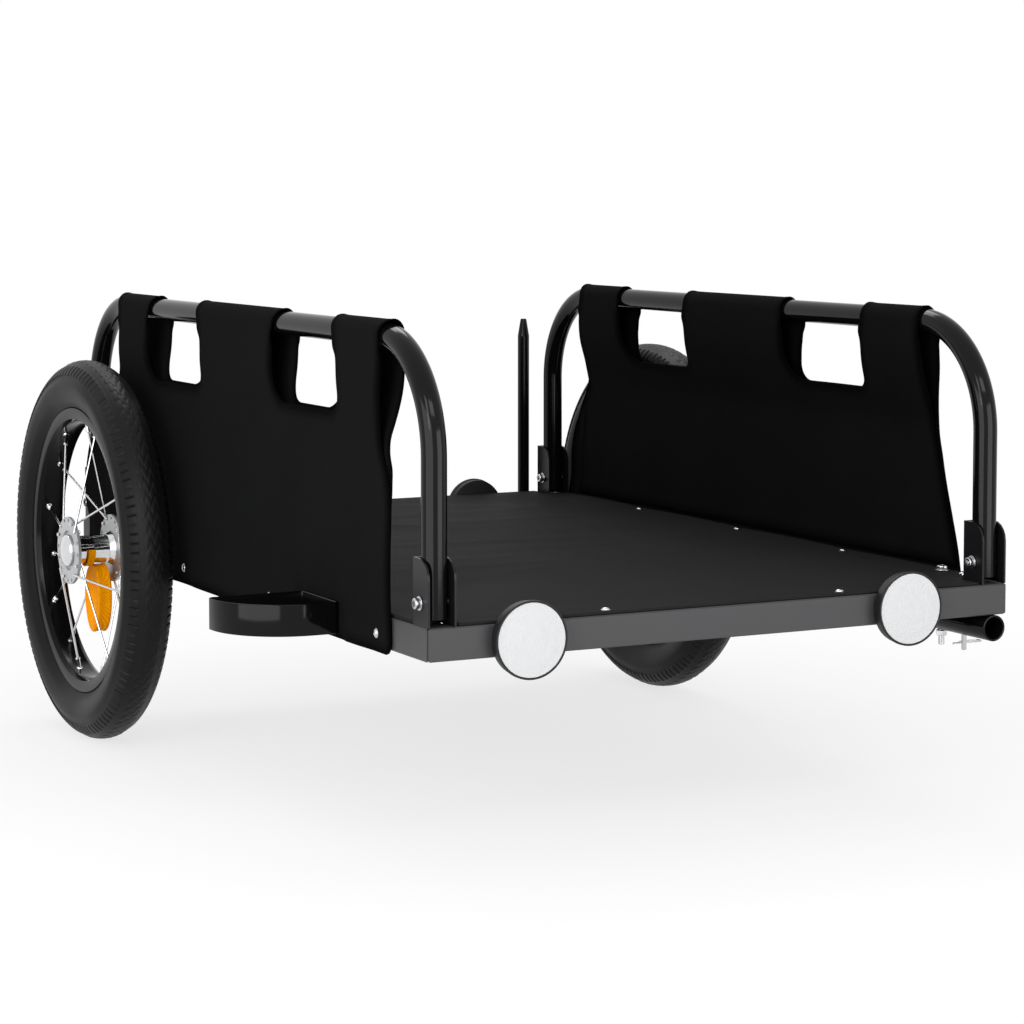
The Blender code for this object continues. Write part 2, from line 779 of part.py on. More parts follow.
def hub_shape():
    """The turned hub: bore for the axle, two large flanges, barrel and a domed outer cap."""
    bore = axle_radius + hub_bore_clearance
    inner, outer = flange_offset - flange_thickness / 2, flange_offset + flange_thickness / 2
    face = outer + flange_dish / 2
    profile = [
        (0, hub_bore_depth - hub_half_width),
        (bore, hub_bore_depth - hub_half_width),
        (bore, -hub_half_width),
        (hub_end_radius, -hub_half_width),
        (hub_end_radius, -outer - flange_dish / 2),
        (flange_radius, -outer),
        (flange_radius, -inner),
        (hub_barrel_radius, -inner + flange_dish),
        (hub_barrel_radius, inner - flange_dish),
        (flange_radius, inner),
        (flange_radius, outer),
        (recess_radius, face),
        (recess_radius, face - recess_depth),
        (cap_radius, face - recess_depth),
        (cap_radius, face - recess_depth + cap_height * cap_shoulder_share),
    ]
    dome = cap_height * (1 - cap_shoulder_share)
    base = face - recess_depth + cap_height * cap_shoulder_share
    rounded = arc((0, 0), 1, 0, 90, cap_steps)
    profile += [(cap_radius * c, base + dome * s) for c, s in rounded[1:-1]] + [(0, base + dome)]
    return turned(profile, hub_segments)


def spoke_shape():
    """All the spokes of one wheel as loose bars, leaning by turns forwards and back round each flange."""
    shape = bmesh.new()
    aside = flange_offset - spoke_rim_offset
    around = spoke_hole_radius * math.sin(math.radians(spoke_lean_degrees))
    slant = (aside + around) / (rim_bed_radius - spoke_hole_radius)
    tip = rim_bed_radius * math.cos(math.pi / rim_segments) - seat_gap - spoke_radius * slant
    for flange in (-1, 1):
        for k in range(spokes_per_flange):
            spacing = 2 * math.pi / spokes_per_flange
            stagger = spoke_stagger_share if flange < 0 else 0
            at_rim = math.radians(first_spoke_degrees) + (k - stagger) * spacing
            lean = math.radians(spoke_lean_degrees) * (-1 if k % 2 else 1)
            start = Vector((flange * flange_offset, 0, spoke_hole_radius))
            start.rotate(Matrix.Rotation(at_rim + lean, 3, "X"))
            end = Vector((flange * spoke_rim_offset, 0, tip))
            end.rotate(Matrix.Rotation(at_rim, 3, "X"))
            bar = swept([start, end], spoke_radius, spoke_sides)
            data = bpy.data.meshes.new("spoke")
            bar.to_mesh(data)
            bar.free()
            shape.from_mesh(data)
            bpy.data.meshes.remove(data)
    return shape


def amber_shape():
    """The oval reflector held between the spokes, as a flattened round body."""
    shape = bmesh.new()
    bmesh.ops.create_uvsphere(shape, u_segments=amber_segments, v_segments=amber_rings, radius=1)
    size = Vector((amber_thickness, amber_width, amber_length)) / 2
    bmesh.ops.scale(shape, vec=size, verts=shape.verts)
    drop = hub_barrel_radius + seat_gap + amber_length / 2
    bmesh.ops.translate(shape, vec=(-amber_inset, 0, -drop), verts=shape.verts)
    return shape


def wheel(side_name, parent, side):
    place = (side * wheel_offset, wheel_setback, wheel_radius)
    centre = empty("wheel_" + side_name + "_axis", parent, place)
    turn = (0, 0, 0) if side > 0 else (0, 0, math.pi)
    piece("tyre_" + side_name, tyre_shape(), centre, black_rubber, turn=turn)
    piece("rim_" + side_name, rim_shape(), centre, black_enamel, turn=turn)
    hub = piece("hub_" + side_name, hub_shape(), centre, bright_metal, turn=turn)
    combine(hub, cutter("spokes_" + side_name, spoke_shape(), centre, turn=turn), "UNION")
    piece("amber_reflector_" + side_name, amber_shape(), centre, amber_lens, turn=turn)


def build():
    clear_scene()
    trailer = empty("trailer", None, (-socket_offset, 0, -socket_height))
    right_rail = frame_ring(trailer)
    cross_tubes(trailer)
    deck_sheet = deck(trailer)
    for side_name, side in (("left", -1), ("right", 1)):
        holes = []
        for end_name, setback in (("front", hoop_front_setback), ("rear", hoop_rear_setback)):
            corner = end_name + "_" + side_name
            hole = bolt_hole("bolt_hole_" + corner, trailer, side, setback)
            hoop_bracket("bracket_" + corner, trailer, side, setback, hole)
            bracket_bolt("bracket_bolt_" + corner, trailer, side, setback)
            holes.append(hole)
        hoop("hoop_" + side_name, trailer, side, holes)
        side_cover("side_cover_" + side_name, trailer, side)
        wheel_deflector("wheel_deflector_" + side_name, trailer, side)
        axle(side_name, trailer, side)
        wheel(side_name, trailer, side)
    reflectors(trailer)
    drawbar_socket(trailer, right_rail, deck_sheet)
    flag_post(trailer)


build()
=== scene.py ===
import math

import bmesh
import bpy
import numpy as np
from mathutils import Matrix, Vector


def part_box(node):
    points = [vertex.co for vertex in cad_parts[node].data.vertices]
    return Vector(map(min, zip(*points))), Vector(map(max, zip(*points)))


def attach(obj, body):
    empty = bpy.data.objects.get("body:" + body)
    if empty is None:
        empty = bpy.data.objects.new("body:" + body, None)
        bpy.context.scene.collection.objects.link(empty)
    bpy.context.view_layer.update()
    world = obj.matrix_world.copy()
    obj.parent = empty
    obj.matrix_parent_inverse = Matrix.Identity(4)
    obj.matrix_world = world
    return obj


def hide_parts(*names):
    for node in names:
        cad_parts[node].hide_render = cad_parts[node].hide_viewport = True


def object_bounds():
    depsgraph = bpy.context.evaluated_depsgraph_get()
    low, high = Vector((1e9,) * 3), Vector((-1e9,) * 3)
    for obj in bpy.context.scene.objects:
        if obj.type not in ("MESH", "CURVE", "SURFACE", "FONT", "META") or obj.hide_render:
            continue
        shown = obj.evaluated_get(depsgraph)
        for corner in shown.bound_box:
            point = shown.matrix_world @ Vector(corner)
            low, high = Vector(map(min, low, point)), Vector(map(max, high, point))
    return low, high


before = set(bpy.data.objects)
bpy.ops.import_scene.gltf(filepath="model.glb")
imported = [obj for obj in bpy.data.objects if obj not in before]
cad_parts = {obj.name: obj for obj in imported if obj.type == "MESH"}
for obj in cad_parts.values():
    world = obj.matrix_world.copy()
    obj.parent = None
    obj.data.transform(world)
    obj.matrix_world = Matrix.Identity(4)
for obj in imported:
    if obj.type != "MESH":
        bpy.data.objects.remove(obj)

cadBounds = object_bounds()
print("frame loaded with", len(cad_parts), "nodes")


# Measures read from the frame. New pieces are worked out in the trailer's own place: x from the
# middle, y from the front of the frame, z from the ground. trailerOrigin moves them to the frame's.

def rawSpan(node):
    low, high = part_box(node)
    return np.array(low), np.array(high)


frontRailLow, frontRailHigh = rawSpan("frame_front_rail")
trailerOrigin = np.array([
    (frontRailLow[0] + frontRailHigh[0]) / 2,
    frontRailLow[1],
    rawSpan("tyre_left")[0][2],
])


def nodeSpan(node):
    low, high = rawSpan(node)
    return low - trailerOrigin, high - trailerOrigin


def nodeMiddle(node):
    low, high = nodeSpan(node)
    return (low + high) / 2


halfWidth = nodeSpan("frame_right_rail")[1][0]
frameLength = nodeSpan("frame_rear_rail")[1][1]
railTop = nodeSpan("frame_front_rail")[1][2]
sides = (("left", -1), ("right", 1))


# Surfaces. A shape is its points and its quads. makePiece joins and welds shapes and turns their faces out.

def gridQuads(rows, columns, closeRows=False, closeColumns=False):
    # each quad joins a grid point to its next in both directions; a closed direction wraps round
    i, j = np.meshgrid(
        np.arange(rows if closeRows else rows - 1),
        np.arange(columns if closeColumns else columns - 1),
        indexing="ij",
    )
    after, beside = (i + 1) % rows, (j + 1) % columns
    corners = [i * columns + j, i * columns + beside, after * columns + beside, after * columns + j]
    return np.stack(corners, axis=-1).reshape(-1, 4)


def gridShape(points, closeRows=False, closeColumns=False):
    rows, columns = points.shape[:2]
    return points.reshape(-1, 3), gridQuads(rows, columns, closeRows, closeColumns)


def axes(axis):
    # the direction of the axis and two directions square to it
    table = {"x": ((1, 0, 0), (0, 1, 0), (0, 0, 1)), "y": ((0, 1, 0), (0, 0, 1), (1, 0, 0)),
             "z": ((0, 0, 1), (1, 0, 0), (0, 1, 0))}
    return [np.array(v, float) for v in table[axis]]


def fullTurn(steps):
    return np.arange(steps) * 2 * math.pi / steps


def turnedShape(profile, centre, axis, steps, closedProfile=False, sign=1, corners=0):
    # each profile point (radius, along) goes round the axis: centre + along * axis + radius * (cos, sin).
    # with corners, the round is cut back to a polygon's sides, and each radius reaches to its corners
    profile = np.asarray(profile, float)
    direction, first, second = axes(axis) if isinstance(axis, str) else axis
    angle = fullTurn(steps)
    ring = np.cos(angle)[:, None] * first + np.sin(angle)[:, None] * second
    if corners:
        half = math.pi / corners
        ring *= (math.cos(half) / np.cos((angle % (2 * half)) - half))[:, None]
    points = profile[:, 0, None, None] * ring[None] + sign * profile[:, 1, None, None] * direction
    return gridShape(points + np.asarray(centre, float), closeRows=closedProfile, closeColumns=True)


def barShape(start, end, profile, steps):
    # a round bar from start towards end, with a ring at each profile point (radius, metres from start)
    direction = (end - start) / np.linalg.norm(end - start)
    first = np.cross(direction, (0.0, 0.61, 0.79))
    first /= np.linalg.norm(first)
    return turnedShape(profile, start, (direction, first, np.cross(direction, first)), steps)


def sweptShape(path, section, normal, closed=False):
    # each section point (side, up) stands square to the path: path + side * normal + up * (tangent x normal)
    path, section, normal = (np.asarray(v, float) for v in (path, section, normal))
    if closed:
        tangent = np.roll(path, -1, axis=0) - np.roll(path, 1, axis=0)
    else:
        tangent = np.gradient(path, axis=0)
    tangent /= np.linalg.norm(tangent, axis=1)[:, None]
    up = np.cross(tangent, normal)
    points = path[:, None] + section[None, :, 0, None] * normal + section[None, :, 1, None] * up[:, None]
    if closed:
        return gridShape(points, closeRows=True, closeColumns=True)
    ends = [np.repeat(points[k].mean(axis=0)[None, None], section.shape[0], axis=1) for k in (0, -1)]
    return gridShape(np.concatenate([ends[0], points, ends[1]]), closeColumns=True)


def circleSection(radius, steps):
    return radius * np.stack([np.cos(fullTurn(steps)), np.sin(fullTurn(steps))], axis=1)


def arcPoints(centre, radius, start, end, steps):
    # points on an arc in the plane, with the angles in degrees
    angle = np.radians(np.linspace(start, end, steps + 1))
    return np.stack([centre[0] + radius * np.cos(angle), centre[1] + radius * np.sin(angle)], axis=1)


def filleted(points, radius, steps=4, closed=False):
    # each corner becomes an arc that touches both of its sides
    points = [np.array(p, float) for p in points]
    result = []
    for k, corner in enumerate(points):
        if not closed and k in (0, len(points) - 1):
            result.append(corner[None])
            continue
        toPrevious = points[k - 1] - corner
        toNext = points[(k + 1) % len(points)] - corner
        reach = min(np.linalg.norm(toPrevious), np.linalg.norm(toNext)) / 2
        before, after = toPrevious / np.linalg.norm(toPrevious), toNext / np.linalg.norm(toNext)
        halfAngle = math.acos(max(-1, min(1, float(before @ after)))) / 2
        back = min(radius / math.tan(halfAngle), reach)
        size = back * math.tan(halfAngle)
        middle = corner + (before + after) / np.linalg.norm(before + after) * size / math.sin(halfAngle)
        first, last = corner + before * back - middle, corner + after * back - middle
        turn = math.atan2(first[0] * last[1] - first[1] * last[0], float(first @ last))
        angle = math.atan2(first[1], first[0]) + turn * np.linspace(0, 1, steps + 1)
        result.append(middle + size * np.stack([np.cos(angle), np.sin(angle)], axis=1))
    return np.concatenate(result)


def domedProfile(radius, base, height, steps=6):
    # a low dome: radius * cos, height * sin over a quarter turn, closed on the axis
    angle = np.linspace(0, math.pi / 2, steps + 1)
    return [(radius * math.cos(a), base + height * math.sin(a)) for a in angle]


def smoothStep(value, low, high):
    share = np.clip((value - low) / (high - low), 0, 1)
    return share * share * (3 - 2 * share)


def smoothLine(at, knots, values):
    # a smooth line through a few points: each stretch is blended from its ends with matching slopes
    knots, values = np.asarray(knots, float), np.asarray(values, float)
    slopes = np.gradient(values, knots)
    k = np.clip(np.searchsorted(knots, at) - 1, 0, len(knots) - 2)
    width = knots[k + 1] - knots[k]
    t = np.clip((at - knots[k]) / width, 0, 1)
    return ((2 * t ** 3 - 3 * t ** 2 + 1) * values[k] + (t ** 3 - 2 * t ** 2 + t) * width * slopes[k]
            + (3 * t ** 2 - 2 * t ** 3) * values[k + 1] + (t ** 3 - t ** 2) * width * slopes[k + 1])


weldDistance = 0.000004


def makePiece(name, shapes, body, material, replaced=(), weld=True, sharp=38):
    # sharp is the angle in degrees past which an edge is shaded sharp
    counts = np.cumsum([0] + [len(points) for points, quads in shapes])
    points = np.concatenate([points for points, quads in shapes]) + trailerOrigin
    quads = np.concatenate([quads + start for (p, quads), start in zip(shapes, counts)])
    mesh = bpy.data.meshes.new(name)
    mesh.vertices.add(len(points))
    mesh.vertices.foreach_set("co", points.astype(np.float32).ravel())
    mesh.loops.add(quads.size)
    mesh.loops.foreach_set("vertex_index", quads.astype(np.int32).ravel())
    mesh.polygons.add(len(quads))
    mesh.polygons.foreach_set("loop_start", np.arange(0, quads.size, 4, dtype=np.int32))
    mesh.update(calc_edges=True)
    if weld:
        work = bmesh.new()
        work.from_mesh(mesh)
        bmesh.ops.remove_doubles(work, verts=work.verts, dist=weldDistance)
        bmesh.ops.recalc_face_normals(work, faces=work.faces)
        work.to_mesh(mesh)
        work.free()
    mesh.validate()
    mesh.shade_smooth()
    mesh.set_sharp_from_angle(angle=math.radians(sharp))
    made = bpy.data.objects.new(name, mesh)
    bpy.context.scene.collection.objects.link(made)
    made.data.materials.append(material)
    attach(made, body)
    if replaced:
        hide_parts(*replaced)
    return made


# Materials

def addNode(tree, kind, inputs=(), **settings):
    made = tree.nodes.new(kind)
    for key, value in settings.items():
        setattr(made, key, value)
    for key, value in dict(inputs).items():
        if isinstance(value, bpy.types.NodeSocket):
            tree.links.new(value, made.inputs[key])
        else:
            made.inputs[key].default_value = value
    return made


def mathNode(tree, operation, first, second=0.0, third=0.0, clamp=False):
    inputs = {0: first, 1: second, 2: third}
    return addNode(tree, "ShaderNodeMath", inputs, operation=operation, use_clamp=clamp).outputs[0]


def startMaterial(name, look):
    material = bpy.data.materials.new(name)
    material.use_nodes = True
    tree = material.node_tree
    shader = tree.nodes["Principled BSDF"]
    shader.inputs["Metallic"].default_value = look.get("metallic", 0.0)
    shader.inputs["Specular IOR Level"].default_value = look.get("specular", 0.5)
    shader.inputs["Coat Weight"].default_value = look.get("coat", 0.0)
    shader.inputs["Coat Roughness"].default_value = 0.1
    return material, tree, shader


def noiseFactor(tree, vector, scale, detail=3.0):
    inputs = {"Vector": vector, "Scale": scale, "Detail": detail, "Roughness": 0.55}
    return addNode(tree, "ShaderNodeTexNoise", inputs).outputs["Fac"]


noiseRange = (0.25, 0.75)       # where nearly all of the noise lies


def colourBetween(tree, factor, dark, light):
    ramp = addNode(tree, "ShaderNodeValToRGB", {"Fac": factor})
    for end, place, colour in zip(ramp.color_ramp.elements, noiseRange, (dark, light)):
        end.position, end.color = place, (*colour, 1)
    return ramp.outputs["Color"]


def mottledColour(tree, factor, look):
    colour, spread = np.array(look["colour"]), look["mottle"]
    return colourBetween(tree, factor, colour * (1 - spread), np.minimum(colour * (1 + spread), 1))


def setBump(tree, shader, height, distance, strength=1.0):
    inputs = {"Height": height, "Distance": distance, "Strength": strength}
    tree.links.new(addNode(tree, "ShaderNodeBump", inputs).outputs["Normal"], shader.inputs["Normal"])


def setRoughness(tree, shader, factor, low, high):
    inputs = {"Value": factor, "To Min": low, "To Max": high}
    inputs.update(zip(("From Min", "From Max"), noiseRange))
    tree.links.new(addNode(tree, "ShaderNodeMapRange", inputs).outputs["Result"], shader.inputs["Roughness"])


def coatedFinish(name, look):
    # paint, plastic, rubber or plated metal: a mottled colour, a varied gloss and a fine raised grain
    material, tree, shader = startMaterial(name, look)
    place = addNode(tree, "ShaderNodeTexCoord").outputs["Object"]
    broad = noiseFactor(tree, place, look["mottleScale"])
    fine = noiseFactor(tree, place, look["grainScale"], 4.0)
    tree.links.new(mottledColour(tree, broad, look), shader.inputs["Base Color"])
    setRoughness(tree, shader, broad, look["roughness"] * 0.85, look["roughness"] * 1.15)
    setBump(tree, shader, fine, look["grainHeight"])
    return material


def weaveHeight(tree, across, along, pitch):
    # plain weave: threads are half waves across, and warp and weft lie on top by turns
    u = mathNode(tree, "MULTIPLY", across, 1 / pitch)
    v = mathNode(tree, "MULTIPLY", along, 1 / pitch)
    waveU, waveV = (
        mathNode(tree, "ABSOLUTE", mathNode(tree, "SINE", mathNode(tree, "MULTIPLY", way, math.pi)))
        for way in (u, v))
    cells = mathNode(tree, "ADD", mathNode(tree, "FLOOR", u), mathNode(tree, "FLOOR", v))
    turn = mathNode(tree, "PINGPONG", cells, 1.0)
    warp = mathNode(tree, "MULTIPLY", waveU, mathNode(tree, "MULTIPLY_ADD", waveV, 0.4, 0.6))
    weft = mathNode(tree, "MULTIPLY", waveV, mathNode(tree, "MULTIPLY_ADD", waveU, 0.4, 0.6))
    lower = mathNode(tree, "MULTIPLY", weft, mathNode(tree, "SUBTRACT", 1.0, turn))
    return mathNode(tree, "MULTIPLY_ADD", warp, turn, lower)


def clothFinish(name, look):
    # coated cloth: the weave and a stitched border follow the cloth's own lengths, kept as its UV map,
    # and the attribute border holds each point's distance from the cloth's edge in metres
    material, tree, shader = startMaterial(name, look)
    place = addNode(tree, "ShaderNodeTexCoord").outputs
    split = addNode(tree, "ShaderNodeSeparateXYZ", {0: place["UV"]}).outputs
    weave = weaveHeight(tree, split["X"], split["Y"], look["pitch"])
    border = addNode(tree, "ShaderNodeAttribute", attribute_name="border").outputs["Fac"]
    fromSeam = mathNode(tree, "ABSOLUTE", mathNode(tree, "SUBTRACT", border, look["seamInset"]))
    seam = mathNode(tree, "LESS_THAN", fromSeam, look["threadWidth"] / 2)
    run = mathNode(tree, "ADD", split["X"], split["Y"])
    stitch = mathNode(tree, "FRACT", mathNode(tree, "MULTIPLY", run, 1 / look["stitchPitch"]))
    thread = mathNode(tree, "MULTIPLY", seam, mathNode(tree, "LESS_THAN", stitch, look["stitchShare"]))
    broad = noiseFactor(tree, place["Object"], look["mottleScale"])
    fine = noiseFactor(tree, place["Object"], look["mottleScale"] * 12)
    # painted shade: the colour is darker in the threads' hollows and towards the cloth's edge, standing in for
    # their shading
    shade = mathNode(tree, "MULTIPLY_ADD", weave, 0.35, 0.80)
    # painted shade at the edge: the colour falls to a share of itself at the cloth's edge, over a given width
    fade = {"Value": border, "From Max": look["paintedEdgeShadeWidth"], "To Min": look["paintedEdgeShade"]}
    fade = addNode(tree, "ShaderNodeMapRange", fade, interpolation_type="SMOOTHSTEP").outputs["Result"]
    shade = mathNode(tree, "MULTIPLY", shade, fade)
    base = mottledColour(tree, broad, look)
    woven = addNode(tree, "ShaderNodeVectorMath", {0: base, "Scale": shade}, operation="SCALE").outputs[0]
    mix = addNode(tree, "ShaderNodeMix", {"Factor": thread}, data_type="RGBA")
    tree.links.new(woven, mix.inputs["A"])
    mix.inputs["B"].default_value = (*look["thread"], 1)
    tree.links.new(mix.outputs["Result"], shader.inputs["Base Color"])
    setRoughness(tree, shader, broad, look["roughness"] - 0.06, look["roughness"] + 0.06)
    groove = mathNode(tree, "LESS_THAN", fromSeam, look["threadWidth"])
    height = mathNode(tree, "MULTIPLY_ADD", fine, 0.6, weave)
    height = mathNode(tree, "SUBTRACT", height, mathNode(tree, "MULTIPLY", groove, 0.4))
    height = mathNode(tree, "MULTIPLY_ADD", thread, 0.8, height)
    setBump(tree, shader, height, look["weaveHeight"])
    return material


def lensFinish(name, look):
    # moulded reflector plastic: small pyramids in a grid over the lens, slanted so that its sides have it too,
    # with painted highlight on the pyramids' tops and painted shade in their hollows
    material, tree, shader = startMaterial(name, look)
    place = addNode(tree, "ShaderNodeTexCoord").outputs["Object"]
    split = addNode(tree, "ShaderNodeSeparateXYZ", {0: place}).outputs
    beside = "Y" if look["across"] == "X" else "X"
    first = mathNode(tree, "MULTIPLY_ADD", split[beside], 0.8, split[look["across"]])
    second = split[look["up"]]
    rise = []
    for a, b in ((first, second), (first, mathNode(tree, "MULTIPLY", second, -1.0))):
        along = mathNode(tree, "MULTIPLY", mathNode(tree, "ADD", a, b), 1 / look["cell"])
        rise.append(mathNode(tree, "PINGPONG", along, 0.5))
    height = mathNode(tree, "ADD", rise[0], rise[1])
    # painted highlight: the colour runs from the lens colour in the hollows to the lighter colour on the
    # pyramids' tops
    tree.links.new(colourBetween(tree, height, look["colour"], look["light"]), shader.inputs["Base Color"])
    setRoughness(tree, shader, noiseFactor(tree, place, 30), look["roughness"] * 0.8, look["roughness"] * 1.2)
    setBump(tree, shader, height, look["cellHeight"])
    return material


def brushedFinish(name, look):
    # turned metal: fine rings round the wheel's axle on top of a light mottle
    material, tree, shader = startMaterial(name, look)
    place = addNode(tree, "ShaderNodeTexCoord").outputs["Object"]
    centre = nodeMiddle("tyre_left") + trailerOrigin
    offset = addNode(tree, "ShaderNodeVectorMath", {0: place, 1: (0, *centre[1:])}, operation="SUBTRACT")
    flat = addNode(tree, "ShaderNodeVectorMath", {0: offset.outputs[0], 1: (0, 1, 1)}, operation="MULTIPLY")
    radius = addNode(tree, "ShaderNodeVectorMath", {0: flat.outputs[0]}, operation="LENGTH").outputs["Value"]
    rings = mathNode(tree, "SINE", mathNode(tree, "MULTIPLY", radius, 2 * math.pi / look["ringPitch"]))
    broad = noiseFactor(tree, place, look["mottleScale"])
    colour = np.array(look["colour"])
    tree.links.new(colourBetween(tree, broad, colour * 0.94, colour * 1.05), shader.inputs["Base Color"])
    setRoughness(tree, shader, broad, look["roughness"] * 0.85, look["roughness"] * 1.15)
    setBump(tree, shader, rings, look["ringHeight"])
    return material


finishKeys = (
    "colour", "roughness", "specular", "metallic", "mottle", "mottleScale", "grainScale", "grainHeight")
finishes = {
    "greyEnamel": ((0.036, 0.036, 0.038), 0.42, 0.28, 0, 0.05, 9, 1400, 0.00006),
    "bracketEnamel": ((0.006, 0.006, 0.007), 0.30, 0.17, 0, 0.06, 20, 900, 0.00004),
    "blackEnamel": ((0.0025, 0.0025, 0.0028), 0.11, 0.16, 0, 0.10, 12, 260, 0.00002),
    "glossRim": ((0.0030, 0.0030, 0.0034), 0.15, 0.10, 0, 0.08, 10, 500, 0.00002),
    "brightMetal": ((0.56, 0.56, 0.58), 0.24, 0.50, 1, 0.10, 120, 900, 0.00002),
    "wheelChrome": ((0.70, 0.70, 0.71), 0.12, 0.50, 1, 0.05, 60, 700, 0.00001),
    "blackPlastic": ((0.012, 0.012, 0.013), 0.45, 0.20, 0, 0.12, 25, 1800, 0.00008),
    "rubber": ((0.0054, 0.0054, 0.0056), 0.44, 0.12, 0, 0.10, 14, 900, 0.00010),
}
greyEnamel, bracketEnamel, blackEnamel, glossRim, brightMetal, wheelChrome, blackPlastic, rubber = (
    coatedFinish(name, dict(zip(finishKeys, look))) for name, look in finishes.items()
)
satinMetal = brushedFinish("satinMetal", dict(
    colour=(0.50, 0.51, 0.52), roughness=0.40, metallic=0.9, mottleScale=40,
    ringPitch=0.0007, ringHeight=0.00002))
clothLook = dict(mottle=0.12, weaveHeight=0.00006, stitchShare=0.68)
# both cloths are painted darker towards their edges as painted shade, the covers widely and the deck in a thin
# line
coverCloth = clothFinish("coverCloth", dict(
    clothLook, colour=(0.0053, 0.0054, 0.0057), roughness=0.88, specular=0.02, pitch=0.0011, mottleScale=16,
    seamInset=0.0065, threadWidth=0.0008, stitchPitch=0.0034, thread=(0.0042, 0.0042, 0.0046),
    paintedEdgeShade=0.18, paintedEdgeShadeWidth=0.014))
deckCloth = clothFinish("deckCloth", dict(
    clothLook, colour=(0.0185, 0.0185, 0.0192), roughness=0.64, specular=0.012, pitch=0.0012, mottleScale=6,
    seamInset=0.0060, threadWidth=0.0009, stitchPitch=0.0038, thread=(0.027, 0.027, 0.028),
    paintedEdgeShade=0.80, paintedEdgeShadeWidth=0.004))
lensLook = dict(across="X", up="Z", roughness=0.25, cell=0.0024, cellHeight=0.00030, specular=0.35, coat=0.1)
# each lens's light colour is its painted highlight on the pyramids' tops
whiteLens = lensFinish("whiteLens", dict(
    lensLook, colour=(0.46, 0.465, 0.47), light=(0.49, 0.495, 0.50), specular=0.10, coat=0.0, roughness=0.36,
    cellHeight=0.00012))
redLens = lensFinish("redLens", dict(lensLook, colour=(0.40, 0.008, 0.007), light=(0.60, 0.016, 0.012)))
amberLens = lensFinish("amberLens", dict(
    lensLook, across="Y", colour=(0.78, 0.21, 0.0), light=(0.90, 0.37, 0.0), cell=0.0032, roughness=0.38,
    specular=0.03, coat=0.0, cellHeight=0.0005))
print("materials made")


# The pieces that keep their own solid and only take a finish

plainNodes = {
    "frame_front_rail": greyEnamel, "frame_rear_rail": greyEnamel,
    "frame_left_rail": greyEnamel, "frame_right_rail": greyEnamel,
    "bracket_front_left": bracketEnamel, "bracket_front_right": bracketEnamel,
    "bracket_rear_left": bracketEnamel, "bracket_rear_right": bracketEnamel,
    "front_cross_tube": blackEnamel, "axle_cross_tube": blackEnamel,
    "axle_receiver_left": blackEnamel, "axle_receiver_right": blackEnamel,
    "axle_left": brightMetal, "axle_right": brightMetal, "post_clamp": blackEnamel,
}
for node, material in plainNodes.items():
    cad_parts[node].data.materials.clear()
    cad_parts[node].data.materials.append(material)


# Tyres

tyre = dict(
    bulgeRadius=0.1765, beadRadius=0.153, beadHalfWidth=0.016,
    groups=16, samples=48,      # the pattern repeats this often, in this many steps
    shoulderBlocks=2, grooveHalf=0.0010,
    grooves=((0, 0.0013), (0.25, 0.0013), (0.5, 0.0013), (0.75, 0.0008)),   # share of a block pair, and depth
    knobs=5, knobHeight=0.0005, knobHalfLength=0.0074, knobHalfWidth=0.0028, knobTilt=12,
    knobColumns=(-15.5, -5.2, 5.2, 15.5),
    sidewallStep=0.0016,        # the tread stands this far above the sidewall
    # where these start and end, in degrees from the tyre's middle
    crown=(35, 37.5), shoulder=(38, 64), treadEdge=(63, 65.5), stepEnd=(70, 88),
    ribHeight=0.0005,
)


def boxed(value, low, high, edge):
    # 1 between low and high, falling to 0 over edge on both sides
    return smoothStep(value, low - edge, low) * (1 - smoothStep(value, high, high + edge))


def treadDepth(part, degrees, length, crownRadius):
    # depth below the tyre's outer round, in a group of the given length: a step at the tread's edge, cross
    # grooves on the shoulders (two short blocks and a long one by turns) and slanted leaf knobs in the middle
    away = np.abs(degrees)
    depth = tyre["sidewallStep"] * smoothStep(away, *tyre["treadEdge"])
    depth = depth * (1 - smoothStep(away, *tyre["stepEnd"]))
    shoulder = boxed(away, *tyre["shoulder"], 1.5)
    period = length / tyre["shoulderBlocks"]
    inPeriod = (part * tyre["shoulderBlocks"]) % 1
    for at, deep in tyre["grooves"]:
        off = np.abs((inPeriod - at + 0.5) % 1 - 0.5) * period
        groove = 1 - smoothStep(off, tyre["grooveHalf"] * 0.4, tyre["grooveHalf"] * 1.5)
        depth = depth + shoulder * deep * groove
    base = tyre["knobHeight"] * (1 - smoothStep(away, *tyre["crown"]))
    knob = np.zeros_like(depth + part)
    pitch = length / tyre["knobs"]
    for column, at in enumerate(tyre["knobColumns"]):
        tilt = math.radians(tyre["knobTilt"]) * (1 if column % 2 else -1)
        along = ((part * tyre["knobs"] + column * 0.5) % 1 - 0.5) * pitch
        across = np.radians(degrees - at) * crownRadius
        first = along * math.cos(tilt) + across * math.sin(tilt)
        second = across * math.cos(tilt) - along * math.sin(tilt)
        reach = np.hypot(first / tyre["knobHalfLength"], second / tyre["knobHalfWidth"])
        knob = np.maximum(knob, 1 - smoothStep(reach, 0.70, 1.15))
    return depth + base * (1 - knob)


